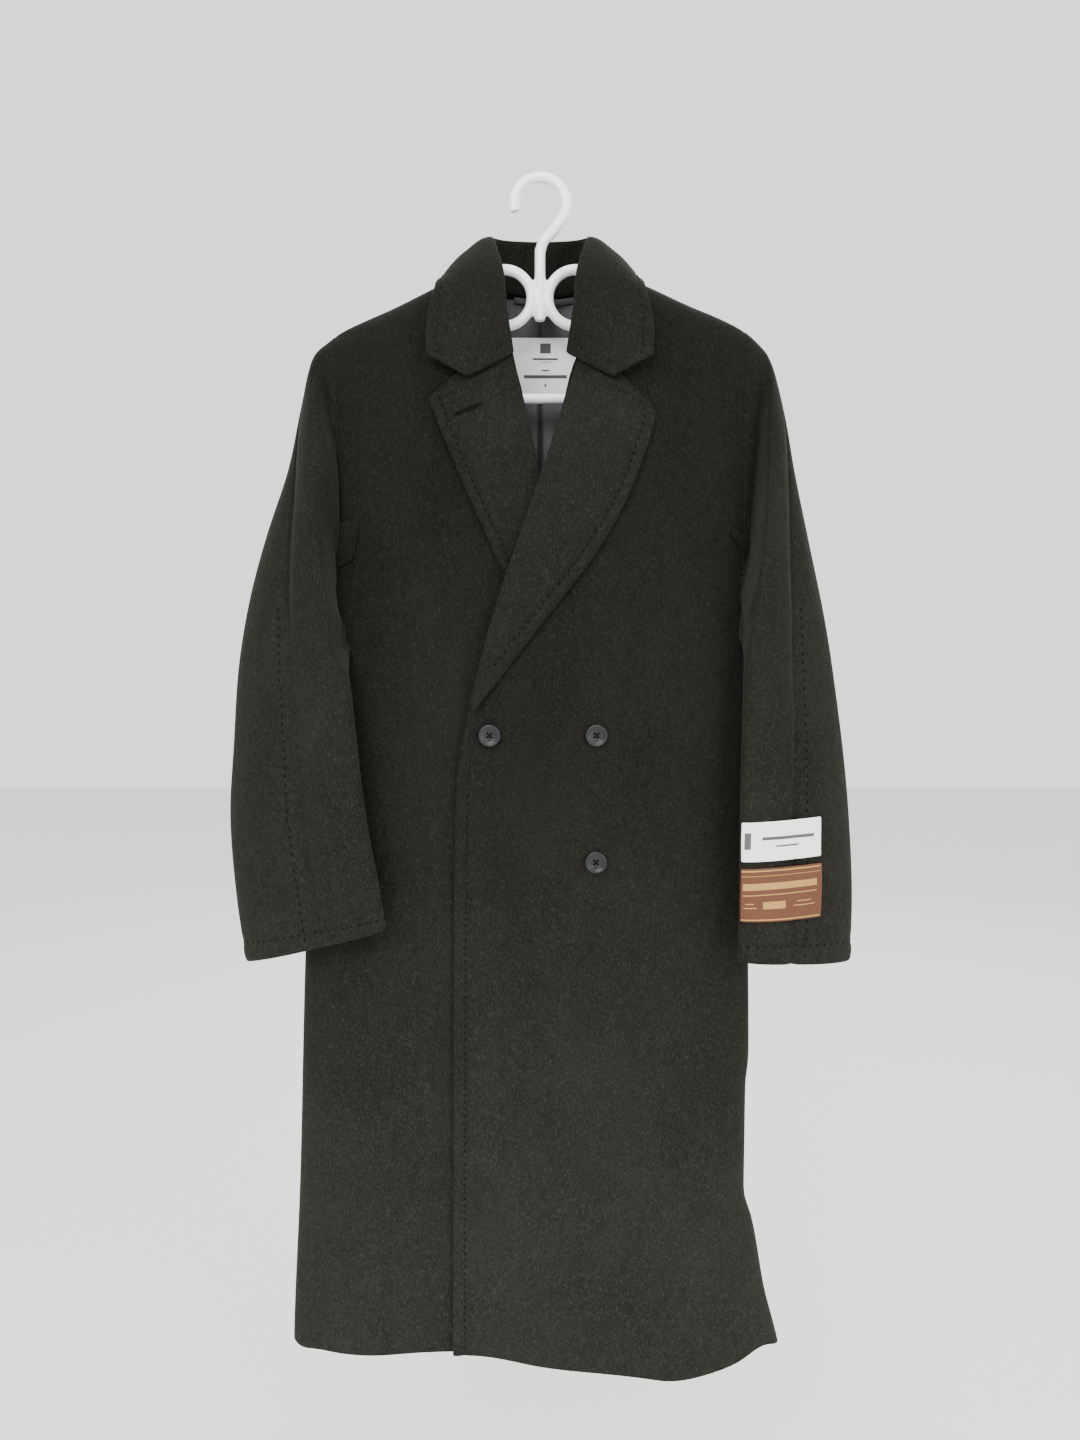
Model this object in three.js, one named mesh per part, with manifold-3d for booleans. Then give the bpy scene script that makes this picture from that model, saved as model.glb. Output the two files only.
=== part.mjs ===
// A double-breasted wool overcoat on a tubular plastic hanger, as it hangs.
// Millimetres, +Z up. The origin is the inner crown of the hanger's hook.
// +X is the wearer's left, and the front of the coat faces -Y.
import * as THREE from "three";
import { mergeVertices } from "three/addons/utils/BufferGeometryUtils.js";
import Module from "manifold-3d";

const wasm = await Module();
wasm.setup();

// ---- Driving dimensions ----
const WOOL = 3; // coat cloth
const LINING = 1.2;
const GAP = 0.4; // between touching layers
const SEAM = 0.4; // between pieces that are sewn edge to edge
const LABEL = 0.8;
const HALF_DEPTH = 46; // body, front to back
const ROUNDNESS = 2.2; // exponent of the body's section
const OVERLAP_RAISE = 7.3; // the outer front over the under front
const LAPEL_RAISE = 7; // more, where it crosses the under lapel
const LAPEL = 3.6;

const TUBE = 11.5; // hanger tube, across
const HOOK_RADIUS = 27.2; // of the tube's centre line
const STEM_FOOT = -137;
const RING_RADIUS = 28.75;
const RING_HEIGHT = -116;
const HANGER_HALF = 204;
const BAR_HEIGHT = -219;

const NECK_TOP = -92;
const ARMHOLE = 213; // from the centre to the plane where a sleeve starts
const UNDERARM = -400;
const FRONT_EDGE = -86;
const BREAK = [-71, -543]; // where the outer lapel starts to roll
const FACING = 96; // width of a front facing
const LINING_HEM = -1215;
const BACK_HEM = -1250;

const BUTTON = 23;
const BUTTON_THICK = 4;
const SHANK = 3;
const BUTTONHOLE = 27;
const BUTTON_LOW = 132; // from the upper row to the lower one
const BUTTONS_APART = 110;
const BUTTON_ROW = -570;

const HINGE_TOP = [-90, -600]; // where the outer front's skirt folds back
const HINGE_FOOT = [100, -1275];

// ---- Profiles: [height, value] ----
const LEFT_SIDE = [
  [-92, -74], [-110, -106], [-136, -163], [-154, -201], [-167, -226], [-200, -236],
  [-400, -222], [-500, -230], [-600, -240], [-700, -250], [-821, -257], [-1070, -267],
  [-1251, -277], [-1300, -278],
];
const RIGHT_SIDE = [
  [-92, 74], [-110, 106], [-136, 163], [-154, 201], [-167, 226], [-200, 236],
  [-400, 222], [-600, 224], [-821, 228], [-931, 230], [-960, 226], [-1083, 227],
  [-1113, 237], [-1198, 252], [-1265, 269], [-1300, 272],
];
const ROWS = [
  -92, -110, -136, -154, -167, -200, -285, -400, -500, -600, -700, -821, -960, -1083, -1113,
  -1198, -1290,
];
const LIFTED_ROWS = [...ROWS, -245, -340, -465, -535].sort((a, b) => b - a);
const FRONT_HEM = [
  [-320, -1230], [-277, -1234], [-239, -1248], [-196, -1253], [-121, -1246], [-75, -1244],
  [0, -1257], [105, -1269], [144, -1277], [212, -1264], [261, -1244], [320, -1240],
];

// ---- Helpers ----
const clamp = (v, low, high) => Math.min(Math.max(v, low), high);
const smooth = (a, b, v) => {
  const t = clamp((v - a) / (b - a), 0, 1);
  return t * t * (3 - 2 * t);
};
const mix = (a, b, t) => a + (b - a) * t;

// Straight-line interpolation in a list of [place, value], in either order of place.
function lookUp(list, place) {
  const rising = list[list.length - 1][0] > list[0][0];
  const sorted = rising ? list : [...list].reverse();
  const v = clamp(place, sorted[0][0], sorted[sorted.length - 1][0]);
  const k = clamp(sorted.findIndex(([p]) => p >= v), 1, sorted.length - 1);
  const [p0, v0] = sorted[k - 1];
  const [p1, v1] = sorted[k];
  return mix(v0, v1, (v - p0) / (p1 - p0));
}

// The point at t of 0 to 1 along a list of evenly weighted points.
function along(points, t) {
  const s = clamp(t, 0, 1) * (points.length - 1);
  const k = Math.min(Math.floor(s), points.length - 2);
  return points[k].map((v, i) => mix(v, points[k + 1][i], s - k));
}

function solidOf(geometry) {
  const g = geometry.clone();
  g.deleteAttribute("normal");
  g.deleteAttribute("uv");
  const m = mergeVertices(g, 1e-4);
  return new wasm.Manifold(
    new wasm.Mesh({
      numProp: 3,
      vertProperties: new Float32Array(m.attributes.position.array),
      triVerts: new Uint32Array(m.index.array),
    }),
  );
}

function geometryOf(solid) {
  const m = solid.getMesh();
  const flat = [];
  for (const v of m.triVerts)
    for (let i = 0; i < 3; i++) flat.push(m.vertProperties[v * m.numProp + i]);
  const g = new THREE.BufferGeometry();
  g.setAttribute("position", new THREE.Float32BufferAttribute(flat, 3));
  g.computeVertexNormals();
  return g;
}

// A closed sheet between two surfaces, each a function of (u, v) that gives [x, y, z].
function sheet(us, vs, outer, inner) {
  const nu = us.length;
  const nv = vs.length;
  const points = [];
  for (const surface of [outer, inner])
    for (const v of vs) for (const u of us) points.push(...surface(u, v));
  const at = (side, i, j) => side * nu * nv + j * nu + i;
  const faces = [];
  const quad = (a, b, c, d) => faces.push(a, b, c, a, c, d);
  for (let j = 0; j + 1 < nv; j++)
    for (let i = 0; i + 1 < nu; i++) {
      quad(at(0, i, j), at(0, i + 1, j), at(0, i + 1, j + 1), at(0, i, j + 1));
      quad(at(1, i, j), at(1, i, j + 1), at(1, i + 1, j + 1), at(1, i + 1, j));
    }
  for (let i = 0; i + 1 < nu; i++) {
    quad(at(0, i, 0), at(1, i, 0), at(1, i + 1, 0), at(0, i + 1, 0));
    quad(at(0, i, nv - 1), at(0, i + 1, nv - 1), at(1, i + 1, nv - 1), at(1, i, nv - 1));
  }
  for (let j = 0; j + 1 < nv; j++) {
    quad(at(0, 0, j), at(0, 0, j + 1), at(1, 0, j + 1), at(1, 0, j));
    quad(at(0, nu - 1, j), at(1, nu - 1, j), at(1, nu - 1, j + 1), at(0, nu - 1, j + 1));
  }
  return closedMesh(points, faces);
}

// The faces turned outwards, as a geometry.
function closedMesh(points, faces) {
  let six = 0;
  const p = (k) => new THREE.Vector3(...points.slice(3 * k, 3 * k + 3));
  for (let i = 0; i < faces.length; i += 3)
    six += p(faces[i]).dot(p(faces[i + 1]).cross(p(faces[i + 2])));
  if (six < 0)
    for (let i = 0; i < faces.length; i += 3)
      [faces[i + 1], faces[i + 2]] = [faces[i + 2], faces[i + 1]];
  const g = new THREE.BufferGeometry();
  g.setAttribute("position", new THREE.Float32BufferAttribute(points, 3));
  g.setIndex(faces);
  g.computeVertexNormals();
  return g;
}

const steps = (a, b, n) => Array.from({ length: n + 1 }, (_, i) => mix(a, b, i / n));

// ---- The body's surface ----
function bodyPoint(angle, z, raise) {
  const left = lookUp(LEFT_SIDE, z);
  const right = lookUp(RIGHT_SIDE, z);
  const power = (v) => Math.sign(v) * Math.abs(v) ** (2 / ROUNDNESS);
  const x = (left + right) / 2 + ((right - left) / 2 + raise) * power(Math.cos(angle));
  const y = (HALF_DEPTH + raise) * power(Math.sin(angle));
  return [x, y, z];
}

// The front surface's y at a place, with the raise given.
function frontY(x, z, raise) {
  const left = lookUp(LEFT_SIDE, z);
  const right = lookUp(RIGHT_SIDE, z);
  const across = Math.abs(x - (left + right) / 2) / ((right - left) / 2 + raise);
  const rest = 1 - Math.min(across, 0.999) ** ROUNDNESS;
  return -(HALF_DEPTH + raise) * rest ** (1 / ROUNDNESS);
}

// How far the outer front stands off the under front.
function overlapRaise(x, z) {
  const crossing = LAPEL_RAISE * smooth(-530, -465, z) * (1 - smooth(40, 110, x));
  return (OVERLAP_RAISE + crossing) * (1 - smooth(90, 195, x)) * smooth(-190, -280, z);
}

const FRONT_ANGLES = steps(-Math.PI + 0.004, -0.004, 18);
const BACK_ANGLES = steps(0.004, Math.PI - 0.004, 18);

function bodyLayer(angles, from, to, lifted) {
  const surface = (depth) => (angle, z) => {
    const base = bodyPoint(angle, z, 0);
    return bodyPoint(angle, z, (lifted ? overlapRaise(base[0], z) : 0) - depth);
  };
  return solidOf(sheet(angles, lifted ? LIFTED_ROWS : ROWS, surface(from), surface(to)));
}

// A layer cut to an outline of [x, z] points.
function cut(layer, outline) {
  const shape = new THREE.Shape(outline.map(([x, z]) => new THREE.Vector2(x, z)));
  const block = new THREE.ExtrudeGeometry(shape, { depth: 400, bevelEnabled: false });
  block.rotateX(Math.PI / 2).translate(0, 200, 0);
  return layer.intersect(solidOf(block));
}

// ---- Outlines ----
const hemPoints = (from, to) => [
  [from, lookUp(FRONT_HEM, from)],
  ...FRONT_HEM.filter(([x]) => x > from && x < to),
  [to, lookUp(FRONT_HEM, to)],
];
const UNDER_ROLL = [[62, -560], [30, -410], [-1, -298], [-26, -196], [-48, -160], [-66, -128], [-72, -85]];
const OUTER_ROLL = [BREAK, [-33, -409], [8, -282], [34, -194], [50, -160], [66, -128], [72, -85]];
const UNDER_EDGE = 84;
const armholeRight = [[ARMHOLE - 0.8, -85], [ARMHOLE - 0.8, UNDERARM - 26], [320, UNDERARM - 26]];
const mirrored = (points) => points.map(([x, z]) => [-x, z]);

const underFront = [
  ...hemPoints(-320, UNDER_EDGE), [UNDER_EDGE, -590], ...UNDER_ROLL, ...mirrored(armholeRight),
];
const outerFront = [
  ...[...hemPoints(FRONT_EDGE, 320)].reverse(), [FRONT_EDGE, -575], ...OUTER_ROLL, ...armholeRight,
];
const back = [
  [-320, BACK_HEM], [320, BACK_HEM], ...[...armholeRight].reverse(), ...mirrored(armholeRight),
];

// Half of the plane on one side of the skirt's fold line, kept clear of it by half a gap.
function foldSide(side) {
  const along2 = new THREE.Vector2(HINGE_FOOT[0] - HINGE_TOP[0], HINGE_FOOT[1] - HINGE_TOP[1]);
  along2.normalize();
  const across = new THREE.Vector2(-along2.y, along2.x).multiplyScalar(side);
  const corner = (run, out) => [
    HINGE_TOP[0] + along2.x * run + across.x * out,
    HINGE_TOP[1] + along2.y * run + across.y * out,
  ];
  return [corner(-20, 0.5), corner(900, 0.5), corner(900, 900), corner(-20, 900)];
}
const SKIRT = -1;
const FIXED = 1;

// The fixed part of the outer front is all of it less the band and the skirt.
function splitAtFold(piece) {
  const skirt = cut(piece, foldSide(SKIRT));
  const [a, b, c, d] = foldSide(SKIRT);
  const shift = (p, by) => [p[0] + by, p[1] + by * 0.25];
  const fixed = piece.subtract(
    cut(bodyBlock, [shift(a, 1.2), shift(b, 1.2), c, d]),
  );
  return { skirt, fixed };
}
const bodyBlock = solidOf(new THREE.BoxGeometry(1200, 400, 3200));

// ---- Nodes ----
const coat = new THREE.Group();
const COLOURS = {
  wool: [0x32312c, 0.95, 0],
  lining: [0x464648, 0.45, 0],
  plastic: [0xebeef0, 0.25, 0],
  button: [0x1d1d1f, 0.4, 0],
  white: [0xe8e8e6, 0.8, 0],
  brown: [0x9b5e34, 0.8, 0],
};
function add(name, geometry, kind) {
  const [color, roughness, metalness] = COLOURS[kind];
  const material = new THREE.MeshStandardMaterial({ color, roughness, metalness });
  const mesh = new THREE.Mesh(geometry.isBufferGeometry ? geometry : geometryOf(geometry), material);
  mesh.name = name;
  coat.add(mesh);
}

// ---- Body panels ----
const innerFrom = WOOL + GAP;
const woolBack = bodyLayer(BACK_ANGLES, 0, WOOL);
const liningBack = bodyLayer(BACK_ANGLES, innerFrom, innerFrom + LINING);
const facingBack = bodyLayer(BACK_ANGLES, innerFrom, innerFrom + WOOL);
const half = (side) => [[side * SEAM, -1400], [side * 400, -1400], [side * 400, 0], [side * SEAM, 0]];
const below = (z, from = -1400) => [[-400, from], [400, from], [400, z], [-400, z]];

for (const [name, side] of [["left", 1], ["right", -1]])
  add(`back_panel_${name}`, cut(cut(woolBack, back), half(side)), "wool");
const NECK_FACING_FOOT = -128;
add("back_neck_facing", cut(cut(facingBack, back), below(-97, NECK_FACING_FOOT)), "wool");
for (const [name, side] of [["left", 1], ["right", -1]]) {
  const panel = cut(cut(liningBack, back), half(side));
  add(`back_lining_${name}`, cut(panel, below(NECK_FACING_FOOT - SEAM, LINING_HEM)), "lining");
}

const woolFront = bodyLayer(FRONT_ANGLES, 0, WOOL);
const facingUnder = bodyLayer(FRONT_ANGLES, innerFrom, innerFrom + WOOL);
const liningUnder = bodyLayer(FRONT_ANGLES, innerFrom, innerFrom + LINING);
const underFacingEdge = UNDER_EDGE - FACING;
const UNDER_FACING = [
  [underFacingEdge, -1400], [400, -1400], [400, 0], [-62, 0], [-62, -150], [underFacingEdge - 40, -300],
  [underFacingEdge, -590],
];
const UNDER_LINING = [
  [-400, -1400], [underFacingEdge - SEAM, -1400], [underFacingEdge - SEAM, -590],
  [underFacingEdge - 40 - SEAM, -300], [-62 - SEAM, -150], [-62 - SEAM, -0], [-400, 0],
];
add("under_front", cut(woolFront, underFront), "wool");
add("under_front_facing", cut(cut(facingUnder, underFront), UNDER_FACING), "wool");
add(
  "under_front_lining",
  cut(cut(cut(liningUnder, underFront), UNDER_LINING), below(-97, LINING_HEM)),
  "lining",
);

// ---- Outer front, with its buttonhole, split where the skirt folds back ----
const buttonX = FRONT_EDGE + 34;
const slot = solidOf(new THREE.BoxGeometry(BUTTONHOLE, 60, SHANK + 2)).translate([
  buttonX, -HALF_DEPTH - 5, BUTTON_ROW,
]);
const outerFacingEdge = FRONT_EDGE + FACING;
const OUTER_FACING = [
  [-400, -1400], [outerFacingEdge, -1400], [outerFacingEdge, -590], [outerFacingEdge + 40, -300],
  [62, -150], [62, 0], [-400, 0],
];
const OUTER_LINING = [
  [outerFacingEdge + SEAM, -1400], [400, -1400], [400, 0], [62 + SEAM, 0], [62 + SEAM, -150],
  [outerFacingEdge + 40 + SEAM, -300], [outerFacingEdge + SEAM, -590],
];
const outerWool = cut(bodyLayer(FRONT_ANGLES, 0, WOOL, true), outerFront).subtract(slot);
const outerFacing = cut(
  cut(bodyLayer(FRONT_ANGLES, innerFrom, innerFrom + WOOL, true), outerFront),
  OUTER_FACING,
).subtract(slot);
const outerLining = cut(
  cut(cut(bodyLayer(FRONT_ANGLES, innerFrom, innerFrom + LINING, true), outerFront), OUTER_LINING),
  below(-97, LINING_HEM),
);
for (const [name, piece, kind] of [
  ["outer_front", outerWool, "wool"],
  ["outer_front_facing", outerFacing, "wool"],
  ["outer_front_lining", outerLining, "lining"],
]) {
  const { skirt, fixed } = splitAtFold(piece);
  add(name, fixed, kind);
  add(`${name}_skirt`, skirt, kind);
}

// ---- Lapels: a sheet over the front, from its roll line to its outer edge ----
function lapel(roll, edge, raise, ends) {
  const place = (u, v) => {
    const [x0, z0] = along(roll, v);
    const [x1, z1] = along(edge, v);
    return [mix(x0, x1, u), mix(z0, z1, u)];
  };
  const surface = (out) => (u, v) => {
    const [x, z] = place(u, v);
    const stand = 2 * GAP + 0.4 + 2.2 * Math.sin(Math.PI * clamp(u, 0, 1)) * ends(v);
    return [x, frontY(x, z, raise(x, z)) - stand - out, z];
  };
  return sheet(steps(0, 1, 6), steps(0, 1, 10), surface(LAPEL), surface(0));
}
const outerLapelRoll = [[36, -192], [22, -237], [8, -282], [-12, -345], [-33, -409], [-52, -475], [-68, -535]];
const outerLapelEdge = [[111, -238], [110, -258], [84, -328], [52, -386], [16, -437], [-30, -500], [-60, -540]];
add("outer_lapel", lapel(outerLapelRoll, outerLapelEdge, overlapRaise, () => 1), "wool");
const underLapelRoll = [[-24, -195], [-13, -245], [-1, -298], [14, -353], [28, -405], [38, -445]];
const underLapelEdge = [[-112, -228], [-101, -255], [-86, -292], [-60, -352], [-33, -408], [10, -448]];
const flatten = (v) => 1 - smooth(0.5, 0.9, v);
add("under_lapel", lapel(underLapelRoll, underLapelEdge, () => 0, flatten), "wool");

// ---- Collar: three curves from the left front round the neck to the right front ----
const FOLD = [[-27, -55, -189], [-35, -53, -140], [-39, -44, -100], [-47, -20, -66], [-48, 10, -53], [-34, 34, -47], [0, 43, -45]];
const MIDDLE = [[-70, -59, -205], [-73, -60, -147], [-73, -50, -108], [-77, -16, -86], [-75, 22, -82], [-48, 52, -90], [0, 58, -94]];
const EDGE = [[-115, -60, -187], [-113, -60, -150], [-108, -50, -122], [-110, -18, -107], [-106, 24, -110], [-62, 58, -142], [0, 62, -148]];
const STAND_FOOT = [[-33, -49, -180], [-43, -44, -150], [-58, -36, -112], [-66, -16, -88], [-66, 10, -88], [-42, 28, -92], [0, 33, -92]];
const around = (curve) => [...curve, ...curve.slice(0, -1).reverse().map(([x, y, z]) => [-x, y, z])];
const centred = (p, by) => {
  const away = new THREE.Vector3(p[0] * 0.55, p[1], 12).normalize().multiplyScalar(by);
  return [p[0] + away.x, p[1] + away.y, p[2] + away.z];
};
function collarLeaf(out) {
  const curves = [FOLD, MIDDLE, EDGE].map(around);
  return (u, v) => {
    const [a, b, c] = curves.map((curve) => along(curve, u));
    const weights = [(1 - v) * (1 - 2 * v), 4 * v * (1 - v), v * (2 * v - 1)];
    return centred(a.map((_, i) => a[i] * weights[0] + b[i] * weights[1] + c[i] * weights[2]), out);
  };
}
function collarStand(out) {
  const top = around(FOLD);
  const foot = around(STAND_FOOT);
  return (u, v) => {
    const a = centred(along(top, u), -GAP);
    const b = along(foot, u);
    return centred(a.map((_, i) => mix(a[i], b[i], v)), out);
  };
}
const COLLAR_STEPS = steps(0, 1, 24);
add("collar_leaf", sheet(COLLAR_STEPS, steps(0, 1, 4), collarLeaf(WOOL), collarLeaf(0)), "wool");
add("collar_stand", sheet(COLLAR_STEPS, steps(0, 1, 2), collarStand(-0.2), collarStand(-WOOL)), "wool");

// ---- Sleeves: rings from the armhole to the cuff, each between an outer and an inner point ----
const RIGHT_OUTER = [
  [-214, 0, -163], [-239, 0, -190], [-252, -2, -245], [-268, -4, -300], [-287, -7, -365], [-304, -10, -430],
  [-316, -12, -500], [-323, -13, -580], [-329, -14, -660], [-324, -14, -745], [-315, -14, -818],
];
const RIGHT_INNER = [
  [-214, -4, -396], [-214, -21, -408], [-212, -40, -430], [-205, -55, -460], [-199, -62, -490], [-194, -66, -525],
  [-189, -69, -570], [-183, -70, -625], [-175, -70, -680], [-166, -70, -728], [-160, -70, -768],
];
const LEFT_OUTER = [
  [214, 0, -163], [239, 0, -190], [254, -2, -245], [268, -4, -305], [282, -7, -370], [297, -10, -440],
  [309, -12, -505], [322, -13, -590], [330, -14, -665], [335, -14, -740], [335, -14, -817],
];
const LEFT_INNER = [
  [214, -4, -396], [215, -18, -406], [215, -40, -425], [214, -54, -450], [213, -60, -475], [211, -62, -510],
  [209, -64, -550], [207, -64, -606], [206, -64, -670], [206, -64, -745], [206, -64, -805],
];
const SLEEVE_DEPTH = [40, 39, 36, 31, 27, 24, 22, 21, 20, 19, 19].map((v) => [v]);
const FOLD_ANGLE = 1.15; // of the pressed over-arm seam, from the outer point
const FOLD_DEEP = 5;
const INNER_SEAM = Math.PI + 0.25;

function sleevePoint(outer, inner, angle, t, raise) {
  const a = new THREE.Vector3(...along(outer, t));
  const b = new THREE.Vector3(...along(inner, t));
  const middle = a.clone().add(b).multiplyScalar(0.5);
  const reach = a.clone().sub(b).multiplyScalar(0.5);
  const length = reach.length();
  reach.normalize();
  const front = new THREE.Vector3(0, -1, 0);
  front.addScaledVector(reach, -front.dot(reach)).normalize();
  const away = Math.atan2(Math.sin(angle - FOLD_ANGLE), Math.cos(angle - FOLD_ANGLE));
  const dip = FOLD_DEEP * Math.exp(-((away / 0.3) ** 2)) * smooth(0, 0.25, t);
  const depth = along(SLEEVE_DEPTH, t)[0] - dip + raise;
  return middle
    .addScaledVector(reach, (length + raise) * Math.cos(angle))
    .addScaledVector(front, depth * Math.sin(angle))
    .toArray();
}
function sleevePiece(outer, inner, angles, rows, from, to) {
  const surface = (raise) => (angle, t) => sleevePoint(outer, inner, angle, t, raise);
  return sheet(angles, rows, surface(from), surface(to));
}
const HALF_SEAM = 0.004;
const CUFF_LINING = 0.96; // the lining stops short of the cuff
const SLEEVE_ROWS = steps(0, 1, 10);
for (const [name, outer, inner] of [
  ["right", RIGHT_OUTER, RIGHT_INNER],
  ["left", LEFT_OUTER, LEFT_INNER],
]) {
  const frontAngles = steps(FOLD_ANGLE + HALF_SEAM, INNER_SEAM - HALF_SEAM, 9);
  const backAngles = steps(INNER_SEAM + HALF_SEAM, FOLD_ANGLE + 2 * Math.PI - HALF_SEAM, 14);
  add(`sleeve_${name}_front`, sleevePiece(outer, inner, frontAngles, SLEEVE_ROWS, 0, -WOOL), "wool");
  add(`sleeve_${name}_back`, sleevePiece(outer, inner, backAngles, SLEEVE_ROWS, 0, -WOOL), "wool");
  const rows = [...SLEEVE_ROWS.slice(0, -1), CUFF_LINING];
  const inside = -WOOL - 2 * GAP;
  const lining = sleevePiece(outer, inner, [...frontAngles, ...backAngles], rows, inside, inside - LINING);
  add(`sleeve_${name}_lining`, lining, "lining");
}
for (const [name, from, to, kind] of [
  ["sleeve_label_upper", 0.783, 0.839, "white"],
  ["sleeve_label_lower", 0.848, 0.926, "brown"],
]) {
  const label = sleevePiece(LEFT_OUTER, LEFT_INNER, steps(1.35, 2.95, 12), steps(from, to, 3), GAP + LABEL + 0.5, GAP + 0.5);
  add(name, label, kind);
}

// ---- Neck label and hanging loop ----
const labelLayer = bodyLayer(BACK_ANGLES, innerFrom + LINING + GAP, innerFrom + LINING + GAP + LABEL);
add("neck_label", cut(labelLayer, [[-44, -205], [56, -205], [56, -135], [-44, -135]]), "white");
const loopDepth = innerFrom + WOOL + 1.2;
const loopLayer = bodyLayer(BACK_ANGLES, loopDepth, loopDepth + 1);
add("hanging_loop", cut(loopLayer, [[-30, -112], [40, -112], [40, -105], [-30, -105]]), "lining");

// ---- Buttons: a dished disc with four holes, on a thread shank ----
function buttonDisc() {
  const r = BUTTON / 2;
  const t = BUTTON_THICK;
  const profile = [[0, 0], [r - 1.4, 0], [r, 1.2], [r, t - 0.8], [r - 0.9, t], [r - 2.6, t - 0.4], [r - 3.6, t - 1.4], [0, t - 1.4]];
  const disc = new THREE.LatheGeometry(profile.map(([a, b]) => new THREE.Vector2(a, b)), 24);
  let solid = solidOf(disc);
  if (solid.volume() < 0) solid = solidOf(disc.scale(1, 1, -1));
  const holes = [-1, 1].flatMap((i) =>
    [-1, 1].map((j) =>
      solidOf(new THREE.CylinderGeometry(0.9, 0.9, 3 * t, 8)).translate([i * 1.9, 0, j * 1.9]),
    ),
  );
  return solid.subtract(wasm.Manifold.union(holes));
}
function addButton(name, x, z, clothY, buttonY) {
  // The disc is turned to face the front and set out from the cloth.
  const turned = buttonDisc().rotate([180, 0, 0]).translate([x, buttonY, z]);
  add(name, turned, "button");
  const long = clothY - buttonY - 2 * GAP - 0.6;
  const shank = new THREE.CylinderGeometry(SHANK / 2, SHANK / 2, long, 10);
  shank.translate(x, buttonY + GAP + long / 2, z);
  add(`${name}_thread`, shank, "lining");
}
const clothAt = (x, z, over) => frontY(x, z, over ? overlapRaise(x, z) : 0);
const STAND_OFF = 2.2;
addButton("button_closing", buttonX, BUTTON_ROW, clothAt(buttonX, BUTTON_ROW, false), clothAt(buttonX, BUTTON_ROW, true) - STAND_OFF);
for (const [name, z] of [["button_upper", BUTTON_ROW], ["button_lower", BUTTON_ROW - BUTTON_LOW]]) {
  const x = buttonX + BUTTONS_APART;
  addButton(name, x, z, clothAt(x, z, true), clothAt(x, z, true) - STAND_OFF);
}

// ---- Hanger: one moulding of round tube ----
function tube(points, closed = false) {
  const path = new THREE.CatmullRomCurve3(points.map(([x, z]) => new THREE.Vector3(x, 0, z)), closed, "catmullrom", 0.5);
  const circle = new THREE.Shape();
  circle.absarc(0, 0, TUBE / 2, 0, 2 * Math.PI, false);
  const n = closed ? 22 : 3 * (points.length - 1);
  return solidOf(new THREE.ExtrudeGeometry(circle, { steps: n, extrudePath: path, bevelEnabled: false, curveSegments: 5 }));
}
const ball = (x, z) => solidOf(new THREE.SphereGeometry(TUBE / 2, 10, 6)).translate([x, 0, z]);
const arc = (cx, cz, r, from, to, n) =>
  steps(from, to, n).map((a) => [cx + r * Math.cos(a), cz + r * Math.sin(a)]);
const hookCentre = -(HOOK_RADIUS - TUBE / 2);
const hook = [
  ...arc(0, hookCentre, HOOK_RADIUS, Math.PI * 1.08, -0.3, 8),
  [14, -48], [3.5, -58], [0, -68],
];
const ringX = RING_RADIUS + TUBE / 2 + 2.9;
const arm = [[ringX + 26, RING_HEIGHT + 10], [100, -122], [150, -146], [HANGER_HALF - 16, -165]];
const end = [
  [HANGER_HALF - 16, -165], [HANGER_HALF - 7, -171], [HANGER_HALF - 4, -183], [HANGER_HALF - 7, -202],
  [HANGER_HALF - 18, -215], [HANGER_HALF - 34, BAR_HEIGHT],
];
const pieces = [
  tube(hook),
  tube([[0, -66], [0, -100], [0, STEM_FOOT]]),
  ball(0, STEM_FOOT),
  ball(hook[0][0], hook[0][1]),
  tube([[-(HANGER_HALF - 35), BAR_HEIGHT], [0, BAR_HEIGHT], [HANGER_HALF - 35, BAR_HEIGHT]]),
];
for (const side of [-1, 1]) {
  const flip = (points) => points.map(([x, z]) => [side * x, z]);
  pieces.push(tube(flip(arc(ringX, RING_HEIGHT, RING_RADIUS, 0, 2 * Math.PI, 12).slice(0, -1)), true));
  pieces.push(tube(flip(arm)), tube(flip(end)));
  pieces.push(ball(side * (HANGER_HALF - 16), -165), ball(side * (HANGER_HALF - 34.5), BAR_HEIGHT));
}
add("hanger", wasm.Manifold.union(pieces), "plastic");

export default coat;
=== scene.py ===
"""A dark wool overcoat on a white tubular hanger.

Metres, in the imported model's own frame: the origin is the inner crown of the hanger's hook,
+X is the wearer's left and the front of the coat faces -Y.
"""

import math

import bmesh
import bpy
import numpy as np
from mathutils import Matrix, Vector


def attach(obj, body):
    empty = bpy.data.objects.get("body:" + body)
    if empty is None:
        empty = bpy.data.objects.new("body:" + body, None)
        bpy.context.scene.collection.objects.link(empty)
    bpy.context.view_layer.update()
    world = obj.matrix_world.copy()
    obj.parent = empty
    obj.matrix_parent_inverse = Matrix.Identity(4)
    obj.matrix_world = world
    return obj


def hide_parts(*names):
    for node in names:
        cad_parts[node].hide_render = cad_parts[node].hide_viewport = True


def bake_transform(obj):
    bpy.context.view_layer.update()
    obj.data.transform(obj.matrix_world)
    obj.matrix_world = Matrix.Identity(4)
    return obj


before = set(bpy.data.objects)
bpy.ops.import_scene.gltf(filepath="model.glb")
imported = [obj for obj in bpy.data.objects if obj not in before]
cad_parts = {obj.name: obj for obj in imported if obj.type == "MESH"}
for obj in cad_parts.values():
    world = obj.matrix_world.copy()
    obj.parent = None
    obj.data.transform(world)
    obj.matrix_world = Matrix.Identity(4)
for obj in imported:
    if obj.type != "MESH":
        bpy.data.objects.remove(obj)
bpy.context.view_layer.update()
MM = 0.001

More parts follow.
